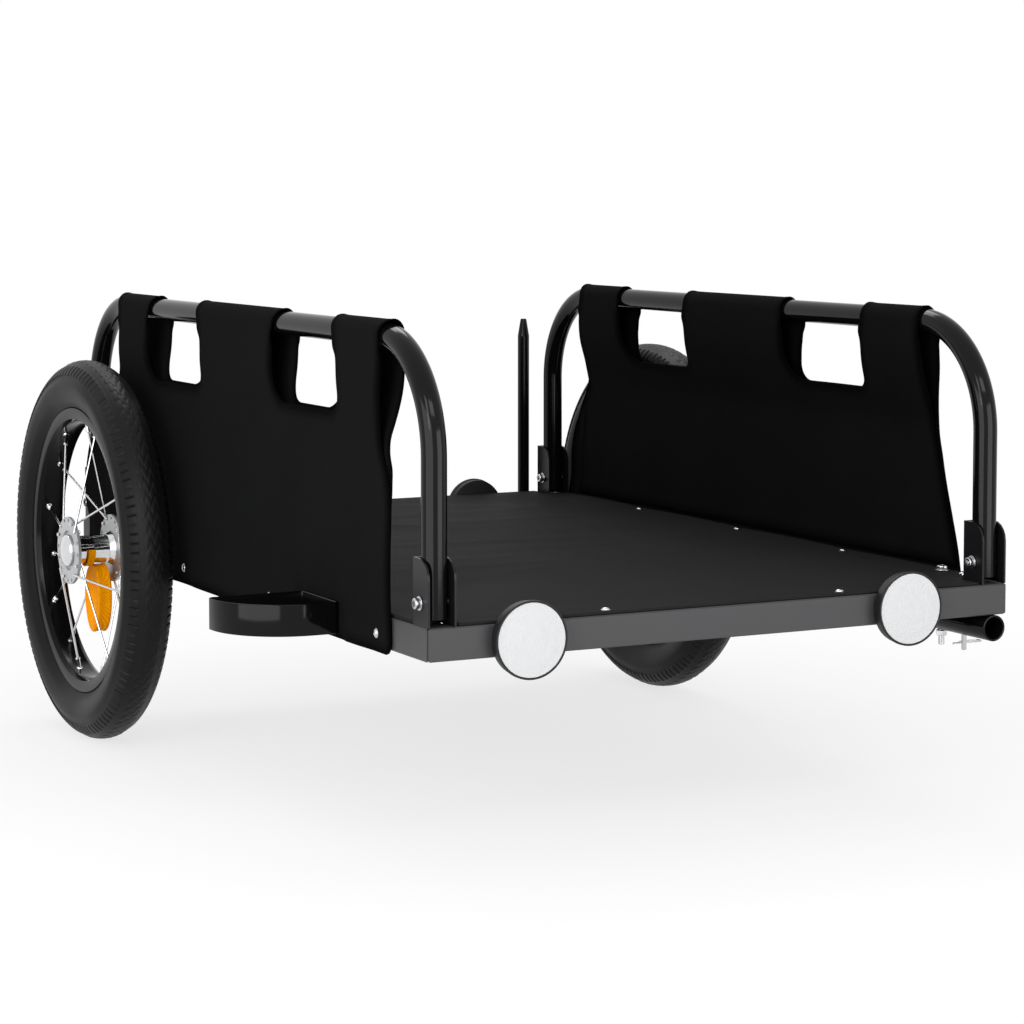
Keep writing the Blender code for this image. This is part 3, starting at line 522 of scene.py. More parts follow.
def tyreShape(centre, side):
    # a point of the section is the tyre's core ring plus the crown's radius less the tread's depth,
    # turned by the section angle; below the widest part the section draws in to the bead with a low rib
    low, high = nodeSpan("tyre_left")
    outer = (high[2] - low[2]) / 2
    crownRadius = outer - tyre["bulgeRadius"]
    widest = (high[0] - low[0]) / 2
    upper = np.concatenate([np.linspace(0, 24, 17), np.linspace(26.5, 34.5, 4), np.linspace(36.5, 61, 9),
                            [63, 65.5], np.linspace(70, 90, 5)])
    degrees = np.concatenate([-upper[:0:-1], upper])
    total = tyre["groups"] * tyre["samples"]
    turn = fullTurn(total)
    part = (np.arange(total) % tyre["samples"]) / tyre["samples"]
    length = 2 * math.pi * outer / tyre["groups"]
    depth = treadDepth(part[None], degrees[:, None], length, crownRadius)
    angle = np.repeat(turn[None], len(degrees), axis=0)
    radians = np.radians(degrees)[:, None]
    radius = tyre["bulgeRadius"] + (crownRadius - depth) * np.cos(radians)
    out = (widest - depth) * np.sin(radians)
    drop = np.linspace(0, 1, 9)[1:]
    bulge = np.sqrt(1 - (drop * math.sqrt(1 - (tyre["beadHalfWidth"] / widest) ** 2)) ** 2)
    fall = tyre["bulgeRadius"] - drop * (tyre["bulgeRadius"] - tyre["beadRadius"])
    rib = tyre["ribHeight"] * boxed(drop, 0.62, 0.70, 0.05)
    flat = np.ones_like(angle[:1])
    lowRadius, lowOut = fall[:, None] * flat, (widest * bulge + rib)[:, None] * flat
    lowAngle = angle[-1:] * np.ones((len(drop), 1))
    radius = np.concatenate([lowRadius[::-1], radius, lowRadius])
    out = np.concatenate([-lowOut[::-1], out, lowOut])
    angle = np.concatenate([lowAngle, angle, lowAngle])
    points = np.stack([centre[0] + side * out, centre[1] + radius * np.cos(angle),
                       centre[2] + radius * np.sin(angle)], axis=-1)
    return gridShape(points, closeRows=True, closeColumns=True)


# Rims

rim = dict(
    edgeRadius=0.1525, shoulderRadius=0.1405, bedRadius=0.1380,
    edgeHalf=0.0170, shoulderHalf=0.01575, bedHalf=0.0110, lip=0.0022, edgeRound=0.0009, steps=144,
    eyelet=((0, 0.0012), (0.0034, 0.0012), (0.0034, 0), (0.0030, -0.0009), (0, -0.0009)),
)
spoke = dict(
    perFlange=8, radius=0.00115, holeRadius=0.0325, lean=33.75, rimOffset=0.003, firstAtRim=59.0,
    bend=0.003, overlap=0.0006, tipGap=0.0002, headOut=0.0034, footIn=0.0026,
    head=((0, -0.0009), (0.0015, -0.0006), (0.0021, 0), (0.00189, 0.0008), (0.00115, 0.0016),
          (0.00115, 0.0058), (0, 0.0062)),
    nippleRadius=0.0021, nippleLength=0.0125, nippleRound=0.0026,
)


def spokePlan(outer):
    # where the left wheel's spokes of one flange meet the rim and leave the hub, in degrees from the rear:
    # they are evenly spaced at the rim, and lean forwards and back by turns
    k = np.arange(spoke["perFlange"])
    atRim = spoke["firstAtRim"] - (k - (0 if outer else 0.5)) * 360 / spoke["perFlange"]
    return atRim, atRim - spoke["lean"] * np.where(k % 2, -1, 1)


def rimShape(centre):
    half = [(rim["edgeRadius"] - 0.004, rim["edgeHalf"] - rim["lip"] - 0.001),
            (rim["edgeRadius"], rim["edgeHalf"] - rim["lip"]),
            (rim["edgeRadius"], rim["edgeHalf"]), (rim["shoulderRadius"], rim["shoulderHalf"]),
            (rim["bedRadius"], rim["bedHalf"])]
    profile = half + [(radius, -along) for radius, along in reversed(half)]
    profile = filleted(profile, rim["edgeRound"], 3, closed=True)
    return turnedShape(profile, centre, "x", rim["steps"], closedProfile=True)


def besideWheel(centre, angle, radius, along):
    # a point in a wheel: angle in degrees from the rear, radius from the axle, along outwards in x
    angle = np.radians(angle)
    return np.stack([centre[0] + along + 0 * angle, centre[1] + radius * np.cos(angle),
                     centre[2] + radius * np.sin(angle)], axis=-1)


def facing(side, angle):
    # the right wheel is the left one turned half round, so its angles run the other way
    return angle if side < 0 else 180 - angle


def eyeletShapes(centre, side):
    shapes = []
    for outer in (-1, 1):
        for angle in facing(side, spokePlan(outer > 0)[0]):
            seat = besideWheel(centre, angle, rim["bedRadius"], side * outer * spoke["rimOffset"])
            out = besideWheel(centre, angle, 1.0, 0) - besideWheel(centre, angle, 0.0, 0)
            shapes.append(barShape(seat, seat + out, rim["eyelet"], 16))
    return shapes


# Hubs with their flanges, caps and spokes

hub = dict(
    boreRadius=0.0066, endRadius=0.014, barrelRadius=0.0155, halfWidth=0.030,
    flangeRadius=0.036, flangeThickness=0.003, flangeOffset=0.024, webRadius=0.0268,
    holes=16, holeRadius=0.0018, steps=96,
    recessRadius=0.0215, recessDepth=0.0025, recessSlope=0.0006, webBore=0.007, floorBore=0.004,
    footHeight=0.004, footLength=0.006, waist=0.0012, edgeRound=0.0012,
    capRadius=0.017, capHeight=0.0095, capShoulder=0.42, capSink=0.0003,
)
hubInner = hub["flangeOffset"] - hub["flangeThickness"] / 2
hubOuter = hub["flangeOffset"] + hub["flangeThickness"] / 2
recessFloor = hubOuter - hub["recessDepth"]


def holedRing(centre, middle, side):
    # a flat ring pierced by a circle of holes: each sector runs from its hole's edge to the sector's outline,
    # with as many points on the outline as on the hole, so that sectors meet point to point
    count, perSide, levels = hub["holes"], 8, 4
    sector = 2 * math.pi / count
    inner, outer = hub["webRadius"], hub["flangeRadius"]
    t = np.arange(perSide) / perSide
    half = sector / 2
    ring = np.concatenate([
        np.stack([outer + 0 * t, half - 2 * half * t], axis=1),
        np.stack([outer - (outer - inner) * t, -half + 0 * t], axis=1),
        np.stack([inner + 0 * t, -half + 2 * half * t], axis=1),
        np.stack([inner + (outer - inner) * t, half + 0 * t], axis=1)])
    outline = np.stack([ring[:, 0] * np.cos(ring[:, 1]), ring[:, 0] * np.sin(ring[:, 1])], axis=1)
    spot = np.array([spoke["holeRadius"], 0])
    bearing = np.arctan2(*(outline - spot).T[::-1])
    edge = spot + hub["holeRadius"] * np.stack([np.cos(bearing), np.sin(bearing)], axis=1)
    share = np.linspace(0, 1, levels + 1)[:, None, None]
    patch = edge[None] * (1 - share) + outline[None] * share
    shapes = []
    half = hub["flangeThickness"] / 2
    first = math.radians(facing(side, spoke["firstAtRim"] - spoke["lean"]))
    for k in range(count):
        turn = first + k * sector
        y = patch[..., 0] * math.cos(turn) - patch[..., 1] * math.sin(turn)
        z = patch[..., 0] * math.sin(turn) + patch[..., 1] * math.cos(turn)
        faces = [np.stack([np.full_like(y, middle * side + depth), y, z], axis=-1) for depth in (half, -half)]
        shapes += [gridShape(face + centre, closeColumns=True) for face in faces]
        shapes.append(gridShape(np.stack([faces[0][0], faces[1][0]]) + centre, closeColumns=True))
        for part in (slice(0, perSide + 1), slice(2 * perSide, 3 * perSide + 1)):
            shapes.append(gridShape(np.stack([faces[0][-1][part], faces[1][-1][part]]) + centre))
    return shapes


def flangeShapes(centre, side):
    # the two flanges: webs on the barrel, closed by the pierced rings; the outer one has a recess for the cap
    inner, outer, web = hubInner, hubOuter, hub["webRadius"]
    slopeEnd, bore = hub["recessRadius"] - hub["recessSlope"], hub["floorBore"]
    capped = [(hub["barrelRadius"] - 0.002, inner), (web, inner), (web, outer), (hub["recessRadius"], outer),
              (slopeEnd, recessFloor), (bore, recessFloor), (bore, inner)]
    plain = [(hub["webBore"], -inner), (web, -inner), (web, -outer), (hub["webBore"], -outer)]
    shapes = [turnedShape(profile, centre, "x", hub["steps"], closedProfile=True, sign=side)
              for profile in (capped, plain)]
    for middle in (hub["flangeOffset"], -hub["flangeOffset"]):
        shapes += holedRing(centre, middle, side)
    return shapes


def hubShapes(centre, side):
    # barrel with its waist, the inner end round the axle, and the bright cap in the outer recess
    inner, barrelRadius, footHeight = hubInner, hub["barrelRadius"], hub["footHeight"]
    straight = inner - hub["footLength"]
    barrel = filleted([
        (hub["boreRadius"], -hub["halfWidth"]), (hub["endRadius"], -hub["halfWidth"]),
        (hub["endRadius"], -hubOuter), (barrelRadius + footHeight, -inner), (barrelRadius, -straight),
        (barrelRadius - hub["waist"], 0),
        (barrelRadius, straight), (barrelRadius + footHeight, inner), (hub["boreRadius"], inner)],
        hub["edgeRound"], 3, closed=True)
    base = recessFloor - hub["capSink"]
    shoulder = base + hub["capHeight"] * hub["capShoulder"]
    cap = [(0, base), (hub["capRadius"], base), (hub["capRadius"], shoulder)]
    cap += domedProfile(hub["capRadius"], shoulder, hub["capHeight"] * (1 - hub["capShoulder"]), 10)[1:]
    return [turnedShape(barrel, centre, "x", hub["steps"], closedProfile=True, sign=side),
            turnedShape(cap, centre, "x", hub["steps"], sign=side)]


def spokeShapes(centre, side):
    # each spoke leaves its flange hole, crosses its neighbour and ends in a round nipple in the rim
    shapes = []
    for outer in (-1, 1):
        for k, (atRim, atHub) in enumerate(zip(*spokePlan(outer > 0))):
            atRim, atHub = facing(side, atRim), facing(side, atHub)
            seat = side * outer * hub["flangeOffset"]
            outside = 1 if k % 2 else -1
            head = besideWheel(centre, atHub, spoke["holeRadius"], seat + outside * spoke["headOut"])
            foot = besideWheel(centre, atHub, spoke["holeRadius"], seat - outside * spoke["footIn"])
            tipRadius = rim["bedRadius"] - spoke["tipGap"]
            tip = besideWheel(centre, atRim, tipRadius, side * outer * spoke["rimOffset"])
            toRim = (tip - foot) / np.linalg.norm(tip - foot)
            bend = foot + toRim * spoke["bend"]
            hidden = spoke["bend"] + spoke["overlap"]
            start, length = bend - toRim * hidden, np.linalg.norm(tip - bend)
            rod = [(0, -0.0004), (spoke["radius"], 0), (spoke["radius"], length), (0, length)]
            shapes += [barShape(head, foot, spoke["head"], 10), barShape(start, tip, rod, 10)]
            low, end = length + hidden - spoke["nippleLength"], length + hidden - spoke["tipGap"]
            wide, knob = spoke["nippleRadius"], spoke["nippleRound"]
            nipple = [(0, low), (wide * 0.62, low), (knob, low + 0.0009), (knob, low + 0.0022),
                      (wide, low + 0.0030), (wide, end), (0, end)]
            shapes.append(barShape(start, tip, nipple, 12))
    return shapes


# The amber reflector between the spokes, and its strap

amber = dict(
    halfHeight=0.037, halfWidth=0.0225, halfDepth=0.0078, dish=0.0048, egg=0.10, steps=72,
    # rings as the share of the way to the oval's edge, and how far each stands above the dish or below the rim
    dishRings=((0, 0), (0.34, 0), (0.37, 0.0004), (0.60, 0.0020), (0.63, 0.0024)),
    rimRings=((0.86, 0.0006), (0.90, 0.0001), (0.955, 0), (0.99, 0.0010), (1.0, 0.0026), (0.985, 0.0038),
              (0.975, 0.0068)),
    strapRadius=0.0172, strapOut=0.0042, strapWidth=0.0080, strapThickness=0.0018, strapSpan=(176, 364),
)


def amberShape(centre):
    # an oval spool: share is the distance from its middle towards the oval's edge, depth its reach along x.
    # the faces are dishes with a flat floor and sloped facets inside a raised rim, and the waist is narrower
    rimDepth = amber["halfDepth"]
    half = [(share, rimDepth - amber["dish"] + above) for share, above in amber["dishRings"]]
    half += [(share, rimDepth - below) for share, below in amber["rimRings"]]
    profile = np.array(half + [(share, -depth) for share, depth in reversed(half)])
    angle = fullTurn(amber["steps"])
    share, depth = profile[:, 0, None], profile[:, 1, None]
    y = amber["halfWidth"] * np.cos(angle) * (1 + amber["egg"] * np.sin(angle))
    z = amber["halfHeight"] * np.sin(angle)
    points = np.stack([depth + 0 * angle, share * y, share * z], axis=-1)
    return gridShape(points + centre, closeColumns=True)


def strapShape(wheel, side):
    # a flat strap bent half round the underside of the hub's barrel, just above the reflector's outer face
    arc = arcPoints((wheel[1], wheel[2]), amber["strapRadius"], *amber["strapSpan"], 32)
    path = np.stack([np.full(len(arc), wheel[0] + side * amber["strapOut"]), arc[:, 0], arc[:, 1]], axis=1)
    wide, thick = amber["strapWidth"] / 2, amber["strapThickness"] / 2
    corners = [(-wide, -thick), (wide, -thick), (wide, thick), (-wide, thick)]
    section = filleted(corners, thick * 0.6, 3, closed=True)
    return sweptShape(path, section, (1, 0, 0))


for sideName, side in sides:
    centre = nodeMiddle("tyre_" + sideName)
    amberNode = "amber_reflector_" + sideName
    pieces = (
        # name, shapes, material, slot, the node that it replaces, sharp angle
        ("tyre_" + sideName + "_tread", [tyreShape(centre, side)], rubber, "tyre", ("tyre_" + sideName,), 30),
        ("rim_" + sideName + "_shell", [rimShape(centre)], glossRim, "gloss_rim", ("rim_" + sideName,), 38),
        ("eyelets_" + sideName, eyeletShapes(centre, side), wheelChrome, "wheel_chrome", (), 38),
        ("hub_" + sideName + "_barrel", hubShapes(centre, side), wheelChrome, "wheel_chrome",
         ("hub_" + sideName,), 38),
        ("hub_" + sideName + "_flanges", flangeShapes(centre, side), satinMetal, "wheel_chrome", (), 25),
        ("spokes_" + sideName, spokeShapes(centre, side), wheelChrome, "wheel_chrome", (), 38),
        (amberNode + "_lens", [amberShape(nodeMiddle(amberNode))], amberLens, "amber_lens", (amberNode,), 38),
        ("amber_strap_" + sideName, [strapShape(centre, side)], amberLens, "amber_lens", (), 38),
    )
    for name, shapes, material, slotName, replaced, sharp in pieces:
        makePiece(name, shapes, "wheel_" + sideName, material, replaced, sharp=sharp)
print("wheels made")


# Hoops

hoop = dict(radius=0.01125, bend=0.102, steps=48, bendSteps=40)


def hoopPath(sideName):
    # up the front leg, over in two quarter bends and down the rear leg
    low, high = nodeSpan("hoop_" + sideName)
    radius, bend = hoop["radius"], hoop["bend"]
    front, rear, top, foot = low[1] + radius, high[1] - radius, high[2] - radius, low[2]
    line = np.concatenate([
        [(front, foot)],
        arcPoints((front + bend, top - bend), bend, 180, 90, hoop["bendSteps"]),
        arcPoints((rear - bend, top - bend), bend, 90, 0, hoop["bendSteps"]),
        [(rear, foot)]])
    x = (low[0] + high[0]) / 2
    return np.stack([np.full(len(line), x), line[:, 0], line[:, 1]], axis=1)


for sideName, side in sides:
    shape = sweptShape(hoopPath(sideName), circleSection(hoop["radius"], hoop["steps"]), (1, 0, 0))
    makePiece("hoop_" + sideName + "_tube", [shape], "chassis", blackEnamel,
              ("hoop_" + sideName,))
hoopX, hoopTop = halfWidth - 0.0146, nodeSpan("hoop_left")[1][2] - hoop["radius"]
print("hoops made")


# Cloth. A sheet is cut in the plane (across, along) by a distance from its edge, in metres: cells outside go,
# points at the cut are moved on to it, and the rest is bent into place by the caller.

def cutCloth(acrossRange, alongRange, cell, distance):
    columns = int(round((acrossRange[1] - acrossRange[0]) / cell)) + 1
    rows = int(round((alongRange[1] - alongRange[0]) / cell)) + 1
    across, along = np.linspace(*acrossRange, columns), np.linspace(*alongRange, rows)
    plane = np.stack(np.meshgrid(across, along, indexing="ij"), axis=-1).reshape(-1, 2)
    quads = gridQuads(columns, rows)
    kept = distance(*plane[quads].mean(axis=1).T) > 0
    touched, missing = np.zeros(len(plane), bool), np.zeros(len(plane), bool)
    touched[quads[kept].ravel()] = True
    missing[quads[~kept].ravel()] = True
    edge = np.flatnonzero(touched & missing)
    step = cell / 20
    for repeat in range(3):
        a, b = plane[edge].T
        here = distance(a, b)
        slope = np.stack([distance(a + step, b) - distance(a - step, b),
                          distance(a, b + step) - distance(a, b - step)], axis=1) / (2 * step)
        length = np.maximum((slope ** 2).sum(axis=1), 0.25)
        shift = np.clip(here / length, -cell, cell)[:, None] * slope
        plane[edge] -= shift
    used = np.flatnonzero(touched)
    number = np.cumsum(touched) - 1
    quads = number[quads[kept]]
    return plane[used], quads


def flatArea(plane, quads):
    # the area of the cut cloth while it is still flat, from the diagonals of its cells
    first = plane[quads[:, 2]] - plane[quads[:, 0]]
    second = plane[quads[:, 3]] - plane[quads[:, 1]]
    return float(np.abs(first[:, 0] * second[:, 1] - first[:, 1] * second[:, 0]).sum() / 2)


def clothPiece(name, points, quads, plane, border, thickness, material, replaced):
    made = makePiece(name, [(points, quads)], "chassis", material, replaced, weld=False, sharp=60)
    layer = made.data.uv_layers.new(name="cloth")
    corner = np.zeros(len(made.data.loops), np.int32)
    made.data.loops.foreach_get("vertex_index", corner)
    layer.data.foreach_set("uv", plane[corner].astype(np.float32).ravel())
    made.data.attributes.new("border", "FLOAT", "POINT").data.foreach_set("value", border.astype(np.float32))
    wall = made.modifiers.new("wall", "SOLIDIFY")
    wall.thickness = thickness
    wall.offset = 0
    wall.use_even_offset = False
    return made


def declareSheet(label, size, area):
    print(label, *(round(length, 3) for length in size), round(area, 4))


def roundedBoth(first, second, radius):
    # the distance inside two edges whose corner is rounded
    a, b = radius - first, radius - second
    inside = np.minimum(np.maximum(a, b), 0)
    return radius - inside - np.hypot(np.maximum(a, 0), np.maximum(b, 0))


# Side covers

cover = dict(
    thickness=0.0013, cell=0.0034, sleeveGap=0.0011, sleeveSlack=0.0008, standOff=0.0013, layerGap=0.0003,
    hem=0.184, bend=0.2191, joinHeight=0.338, joinLap=0.014, joinFade=0.050, innerFoot=0.2226,
    hemRadius=0.012, innerRadius=0.002,
    sill=0.389, windowPitch=dict(left=0.342, right=0.346),
    # corner radii of the windows: outer front, outer rear, inner front, inner rear
    windowRadii=dict(left=(0.013, 0.036, 0.020, 0.024), right=(0.014, 0.018, 0.013, 0.034)),
    notchHalf=0.0165, notchTop=0.2195,
    studs=(0.0995, 0.347, 0.576, 0.810), studHeight=0.2005, studReach=0.030,
    # the cloth's lifts and the heights, or places along the trailer, between which each shows or ends
    billow=0.0026, mainEnd=(0.400, 0.450), waveHeight=0.0006, waveSpan=(0.225, 0.40),
    tailHeight=0.0045, tailSpan=(0.245, 0.36), tailStart=(0.800, 0.870),
    foldSpan=(0.215, 0.330), foldSlope=0.10,
    folds=((0.800, 0.0016, 0.010), (0.824, 0.0011, 0.008), (0.852, 0.0014, 0.009)),     # place, height, width
    curl=0.0016, curlWidth=0.010, tubeSpan=(0.449, 0.490), beadHeight=0.0007, beadWidth=0.006,
)
# the free edges as (height, setback): up the outer layer from the hem, over the tube and down the inner layer
coverEdges = dict(
    left=dict(
        front=(
            ((0.184, 0.069), (0.23, 0.0695), (0.275, 0.07), (0.318, 0.071), (0.338, 0.076), (0.363, 0.0905),
             (0.395, 0.096), (0.444, 0.1), (0.462, 0.101)), 0.0975,
            ((0.472, 0.101), (0.462, 0.1035), (0.449, 0.1), (0.436, 0.0965), (0.418, 0.0913), (0.405, 0.088),
             (0.384, 0.084), (0.371, 0.083), (0.361, 0.0793), (0.346, 0.0728), (0.336, 0.0725),
             (0.222, 0.0745))),
        rear=(
            ((0.184, 0.8735), (0.24, 0.8735), (0.275, 0.8725), (0.304, 0.86), (0.331, 0.836), (0.353, 0.806),
             (0.375, 0.783), (0.393, 0.775), (0.414, 0.779), (0.438, 0.7825), (0.462, 0.78)), 0.788,
            ((0.462, 0.788), (0.415, 0.79), (0.388, 0.797), (0.353, 0.812), (0.336, 0.826), (0.222, 0.85))),
        windowFront=(
            ((0.386, 0.1865), (0.405, 0.188), (0.417, 0.192), (0.431, 0.1956), (0.444, 0.1992),
             (0.462, 0.2028)), 0.2075,
            ((0.462, 0.21), (0.445, 0.212), (0.386, 0.212))),
        windowRear=(
            ((0.386, 0.342), (0.41, 0.345), (0.436, 0.3485), (0.451, 0.348), (0.462, 0.3425)), 0.3405,
            ((0.471, 0.346), (0.462, 0.345), (0.449, 0.3385), (0.441, 0.3364), (0.427, 0.3331),
             (0.413, 0.3285), (0.404, 0.325), (0.386, 0.32))),
    ),
    right=dict(
        front=(
            ((0.184, 0.068), (0.23, 0.078), (0.271, 0.0895), (0.314, 0.101), (0.33, 0.1045), (0.35, 0.1095),
             (0.367, 0.1112), (0.4, 0.1112), (0.421, 0.109), (0.443, 0.1085), (0.462, 0.1115),
             (0.472, 0.115)), 0.112,
            ((0.462, 0.1085), (0.452, 0.1095), (0.43, 0.11), (0.409, 0.111), (0.391, 0.113), (0.371, 0.1155),
             (0.352, 0.116), (0.336, 0.111), (0.3, 0.1015), (0.26, 0.0905), (0.222, 0.08))),
        rear=(
            ((0.184, 0.8735), (0.24, 0.8735), (0.275, 0.8725), (0.304, 0.862), (0.331, 0.842),
             (0.353, 0.825), (0.388, 0.812), (0.444, 0.8), (0.462, 0.797)), 0.797,
            ((0.462, 0.792), (0.443, 0.798), (0.425, 0.803), (0.407, 0.808), (0.388, 0.8115), (0.37, 0.816),
             (0.353, 0.819), (0.336, 0.828), (0.222, 0.85))),
        windowFront=(
            ((0.386, 0.217), (0.42, 0.213), (0.462, 0.209)), 0.209,
            ((0.471, 0.207), (0.462, 0.2075), (0.453, 0.21), (0.443, 0.2115), (0.431, 0.2118),
             (0.416, 0.2142), (0.4, 0.217), (0.386, 0.219))),
        windowRear=(
            ((0.386, 0.354), (0.407, 0.3547), (0.421, 0.3535), (0.434, 0.35), (0.449, 0.3475),
             (0.462, 0.356), (0.472, 0.36)), 0.357,
            ((0.462, 0.3535), (0.449, 0.355), (0.434, 0.357), (0.418, 0.359), (0.386, 0.361))),
    ),
)


def mainOut(height):
    # the main sheet stands straight up to the bend and then leans in to the tube's outer side
    side = hoopX - halfWidth + hoop["radius"] + cover["sleeveGap"]
    share = np.clip((height - cover["bend"]) / (hoopTop - cover["bend"]), 0, 1)
    return cover["standOff"] + (side - cover["standOff"]) * share


def coverPath():
    # the cover seen from its end as (out, up): up the main sheet, round the tube and down the inner layer
    angle = np.radians(np.linspace(0, 180, 33))
    radius = hoop["radius"] + cover["sleeveGap"] + cover["sleeveSlack"] * np.sin(angle)
    over = np.stack([hoopX - halfWidth + radius * np.cos(angle), hoopTop + radius * np.sin(angle)], axis=1)
    # the inner layer hangs nearly straight under the tube, leans out to the main sheet and lies against it
    height = np.linspace(hoopTop, cover["innerFoot"], 50)[1:]
    lap = cover["joinHeight"] + cover["joinLap"]
    share = np.clip((hoopTop - height) / (hoopTop - lap), 0, 1)
    lean = share ** 3 * (4 - 3 * share)
    behind = mainOut(np.minimum(height, lap)) - cover["thickness"] - cover["layerGap"]
    fall = np.stack([over[-1][0] + (behind - over[-1][0]) * lean, height], axis=1)
    return np.concatenate([
        [(cover["standOff"], cover["hem"]), (cover["standOff"], cover["bend"])], over, fall])


def coverShape(sideName, side):
    line = coverPath()
    lengths = np.concatenate([[0], np.cumsum(np.linalg.norm(np.diff(line, axis=0), axis=1))])
    total = lengths[-1]
    peak = int(np.argmax(line[:, 1]))
    summit = float(lengths[peak])

    def runOuter(height):
        return np.interp(height, line[:peak + 1, 1], lengths[:peak + 1])

    def runInner(height):
        return np.interp(height, line[peak:, 1][::-1], lengths[peak:][::-1])

    edges = {}
    for name, (outer, atTop, inner) in coverEdges[sideName].items():
        knots = [float(runOuter(h)) for h, y in outer] + [summit] + [float(runInner(h)) for h, y in inner]
        edges[name] = knots, [y for h, y in outer] + [atTop] + [y for h, y in inner]
    windowLow, windowHigh = float(runOuter(cover["sill"])), float(runInner(cover["sill"]))
    axleY = nodeMiddle("tyre_left")[1]
    notchTop = float(runOuter(cover["notchTop"] - cover["notchHalf"]))

    def windowDistance(y, run):
        # outside a long hole that passes over the tube, with two free edges and four round corners
        fromFront = y - smoothLine(run, *edges["windowFront"])
        fromRear = smoothLine(run, *edges["windowRear"]) - y
        fromLow, fromHigh = run - windowLow, windowHigh - run
        pairs = ((fromFront, fromLow), (fromRear, fromLow), (fromFront, fromHigh), (fromRear, fromHigh))
        radii = cover["windowRadii"][sideName]
        return -np.min([roundedBoth(a, b, radius) for (a, b), radius in zip(pairs, radii)], axis=0)

    def distance(y, run):
        fromFront = y - smoothLine(run, *edges["front"])
        fromRear = smoothLine(run, *edges["rear"]) - y
        ends = np.minimum(run + 0 * y, total - run)
        radius = np.where(run < summit, cover["hemRadius"], cover["innerRadius"])
        result = np.minimum(roundedBoth(fromFront, ends, radius), roundedBoth(fromRear, ends, radius))
        result = np.minimum(result, windowDistance(y, run))
        result = np.minimum(result, windowDistance(y - cover["windowPitch"][sideName], run))
        notch = np.hypot(y - axleY, np.maximum(run - notchTop, 0)) - cover["notchHalf"]
        return np.minimum(result, notch)

    def liftOf(y, run, up, border):
        # how far the cloth stands off: it billows between its studs and the deflector and has folds at its
        # rear end, and its edges turn in, but stand out as a low bead on the tube
        loose = np.ones_like(y)
        for stud in cover["studs"]:
            loose *= 1 - np.exp(-((y - stud) ** 2 + (up - cover["studHeight"]) ** 2) / cover["studReach"] ** 2)
        low, high = nodeSpan("wheel_deflector_left")
        held = boxed(y, low[1], high[1], 0.020) * boxed(up, low[2] - 0.004, high[2] + 0.006, 0.030)
        onMain = 1 - smoothStep(run, *runOuter(cover["mainEnd"]))
        folds = np.zeros_like(y)
        for at, height, width in cover["folds"]:
            folds += height * np.exp(-((y - at - cover["foldSlope"] * (up - 0.27)) / width) ** 2)
        folds *= boxed(up, *cover["foldSpan"], 0.045) * (1 - np.exp(-(border / 0.02) ** 2) * 0.3)
        waves = np.sin(2 * math.pi * (y * 7 + up * 3.1)) * boxed(up, *cover["waveSpan"], 0.03)
        tail = cover["tailHeight"] * smoothStep(y, *cover["tailStart"]) * boxed(up, *cover["tailSpan"], 0.03)
        loosely = loose * (cover["billow"] * (1 - held) + cover["waveHeight"] * waves)
        lift = (loosely + folds + tail) * onMain
        onTube = boxed(up, *cover["tubeSpan"], 0.012)
        curled = np.clip(1 - border / cover["curlWidth"], 0, 1) ** 2
        lift = lift - cover["curl"] * curled * (1 - onTube)
        return lift + cover["beadHeight"] * np.exp(-(border / cover["beadWidth"]) ** 2) * onTube

    ends = edges["front"][1] + edges["rear"][1]
    reach = (min(ends) - cover["cell"], max(ends) + cover["cell"])
    plane, quads = cutCloth(reach, (-cover["cell"], total + cover["cell"]), cover["cell"], distance)
    y, run = plane.T
    border = distance(y, run)
    out, up = np.interp(run, lengths, line[:, 0]), np.interp(run, lengths, line[:, 1])
    before = np.stack([np.interp(run - 0.002, lengths, line[:, k]) for k in (0, 1)], axis=1)
    after = np.stack([np.interp(run + 0.002, lengths, line[:, k]) for k in (0, 1)], axis=1)
    tangent = after - before
    tangent /= np.linalg.norm(tangent, axis=1)[:, None]
    normal = np.stack([tangent[:, 1], -tangent[:, 0]], axis=1)
    lift = liftOf(y, run, up, border)
    # where the inner layer lies against the main sheet it follows it, and its own edges stay flat
    onInner = run > summit
    joinEnd = cover["joinHeight"] + cover["joinFade"]
    against = (1 - smoothStep(up, cover["joinHeight"], joinEnd)) * onInner
    mainRun = runOuter(up)
    followed = liftOf(y, mainRun, up, np.maximum(distance(y, mainRun), 0))
    lift = lift * (1 - against) - followed * against
    resting = (up < railTop + 0.002) & ~onInner
    lowest = -cover["standOff"] + cover["thickness"] / 2 + 0.0002
    lift = np.where(resting, np.maximum(lift, lowest), lift)
    points = np.stack([side * (halfWidth + out + normal[:, 0] * lift), y, up + normal[:, 1] * lift], axis=1)
    return points, quads if side > 0 else quads[:, ::-1], plane, np.maximum(border, 0)


for sideName, side in sides:
    points, quads, plane, border = coverShape(sideName, side)
    sheet = clothPiece("side_cover_" + sideName + "_cloth", points, quads, plane, border, cover["thickness"],
                       coverCloth, ("side_cover_" + sideName,))
    size = np.ptp(plane[:, 1]), np.ptp(plane[:, 0])
    declareSheet("cover " + sideName, size, flatArea(plane, quads))


# Deck

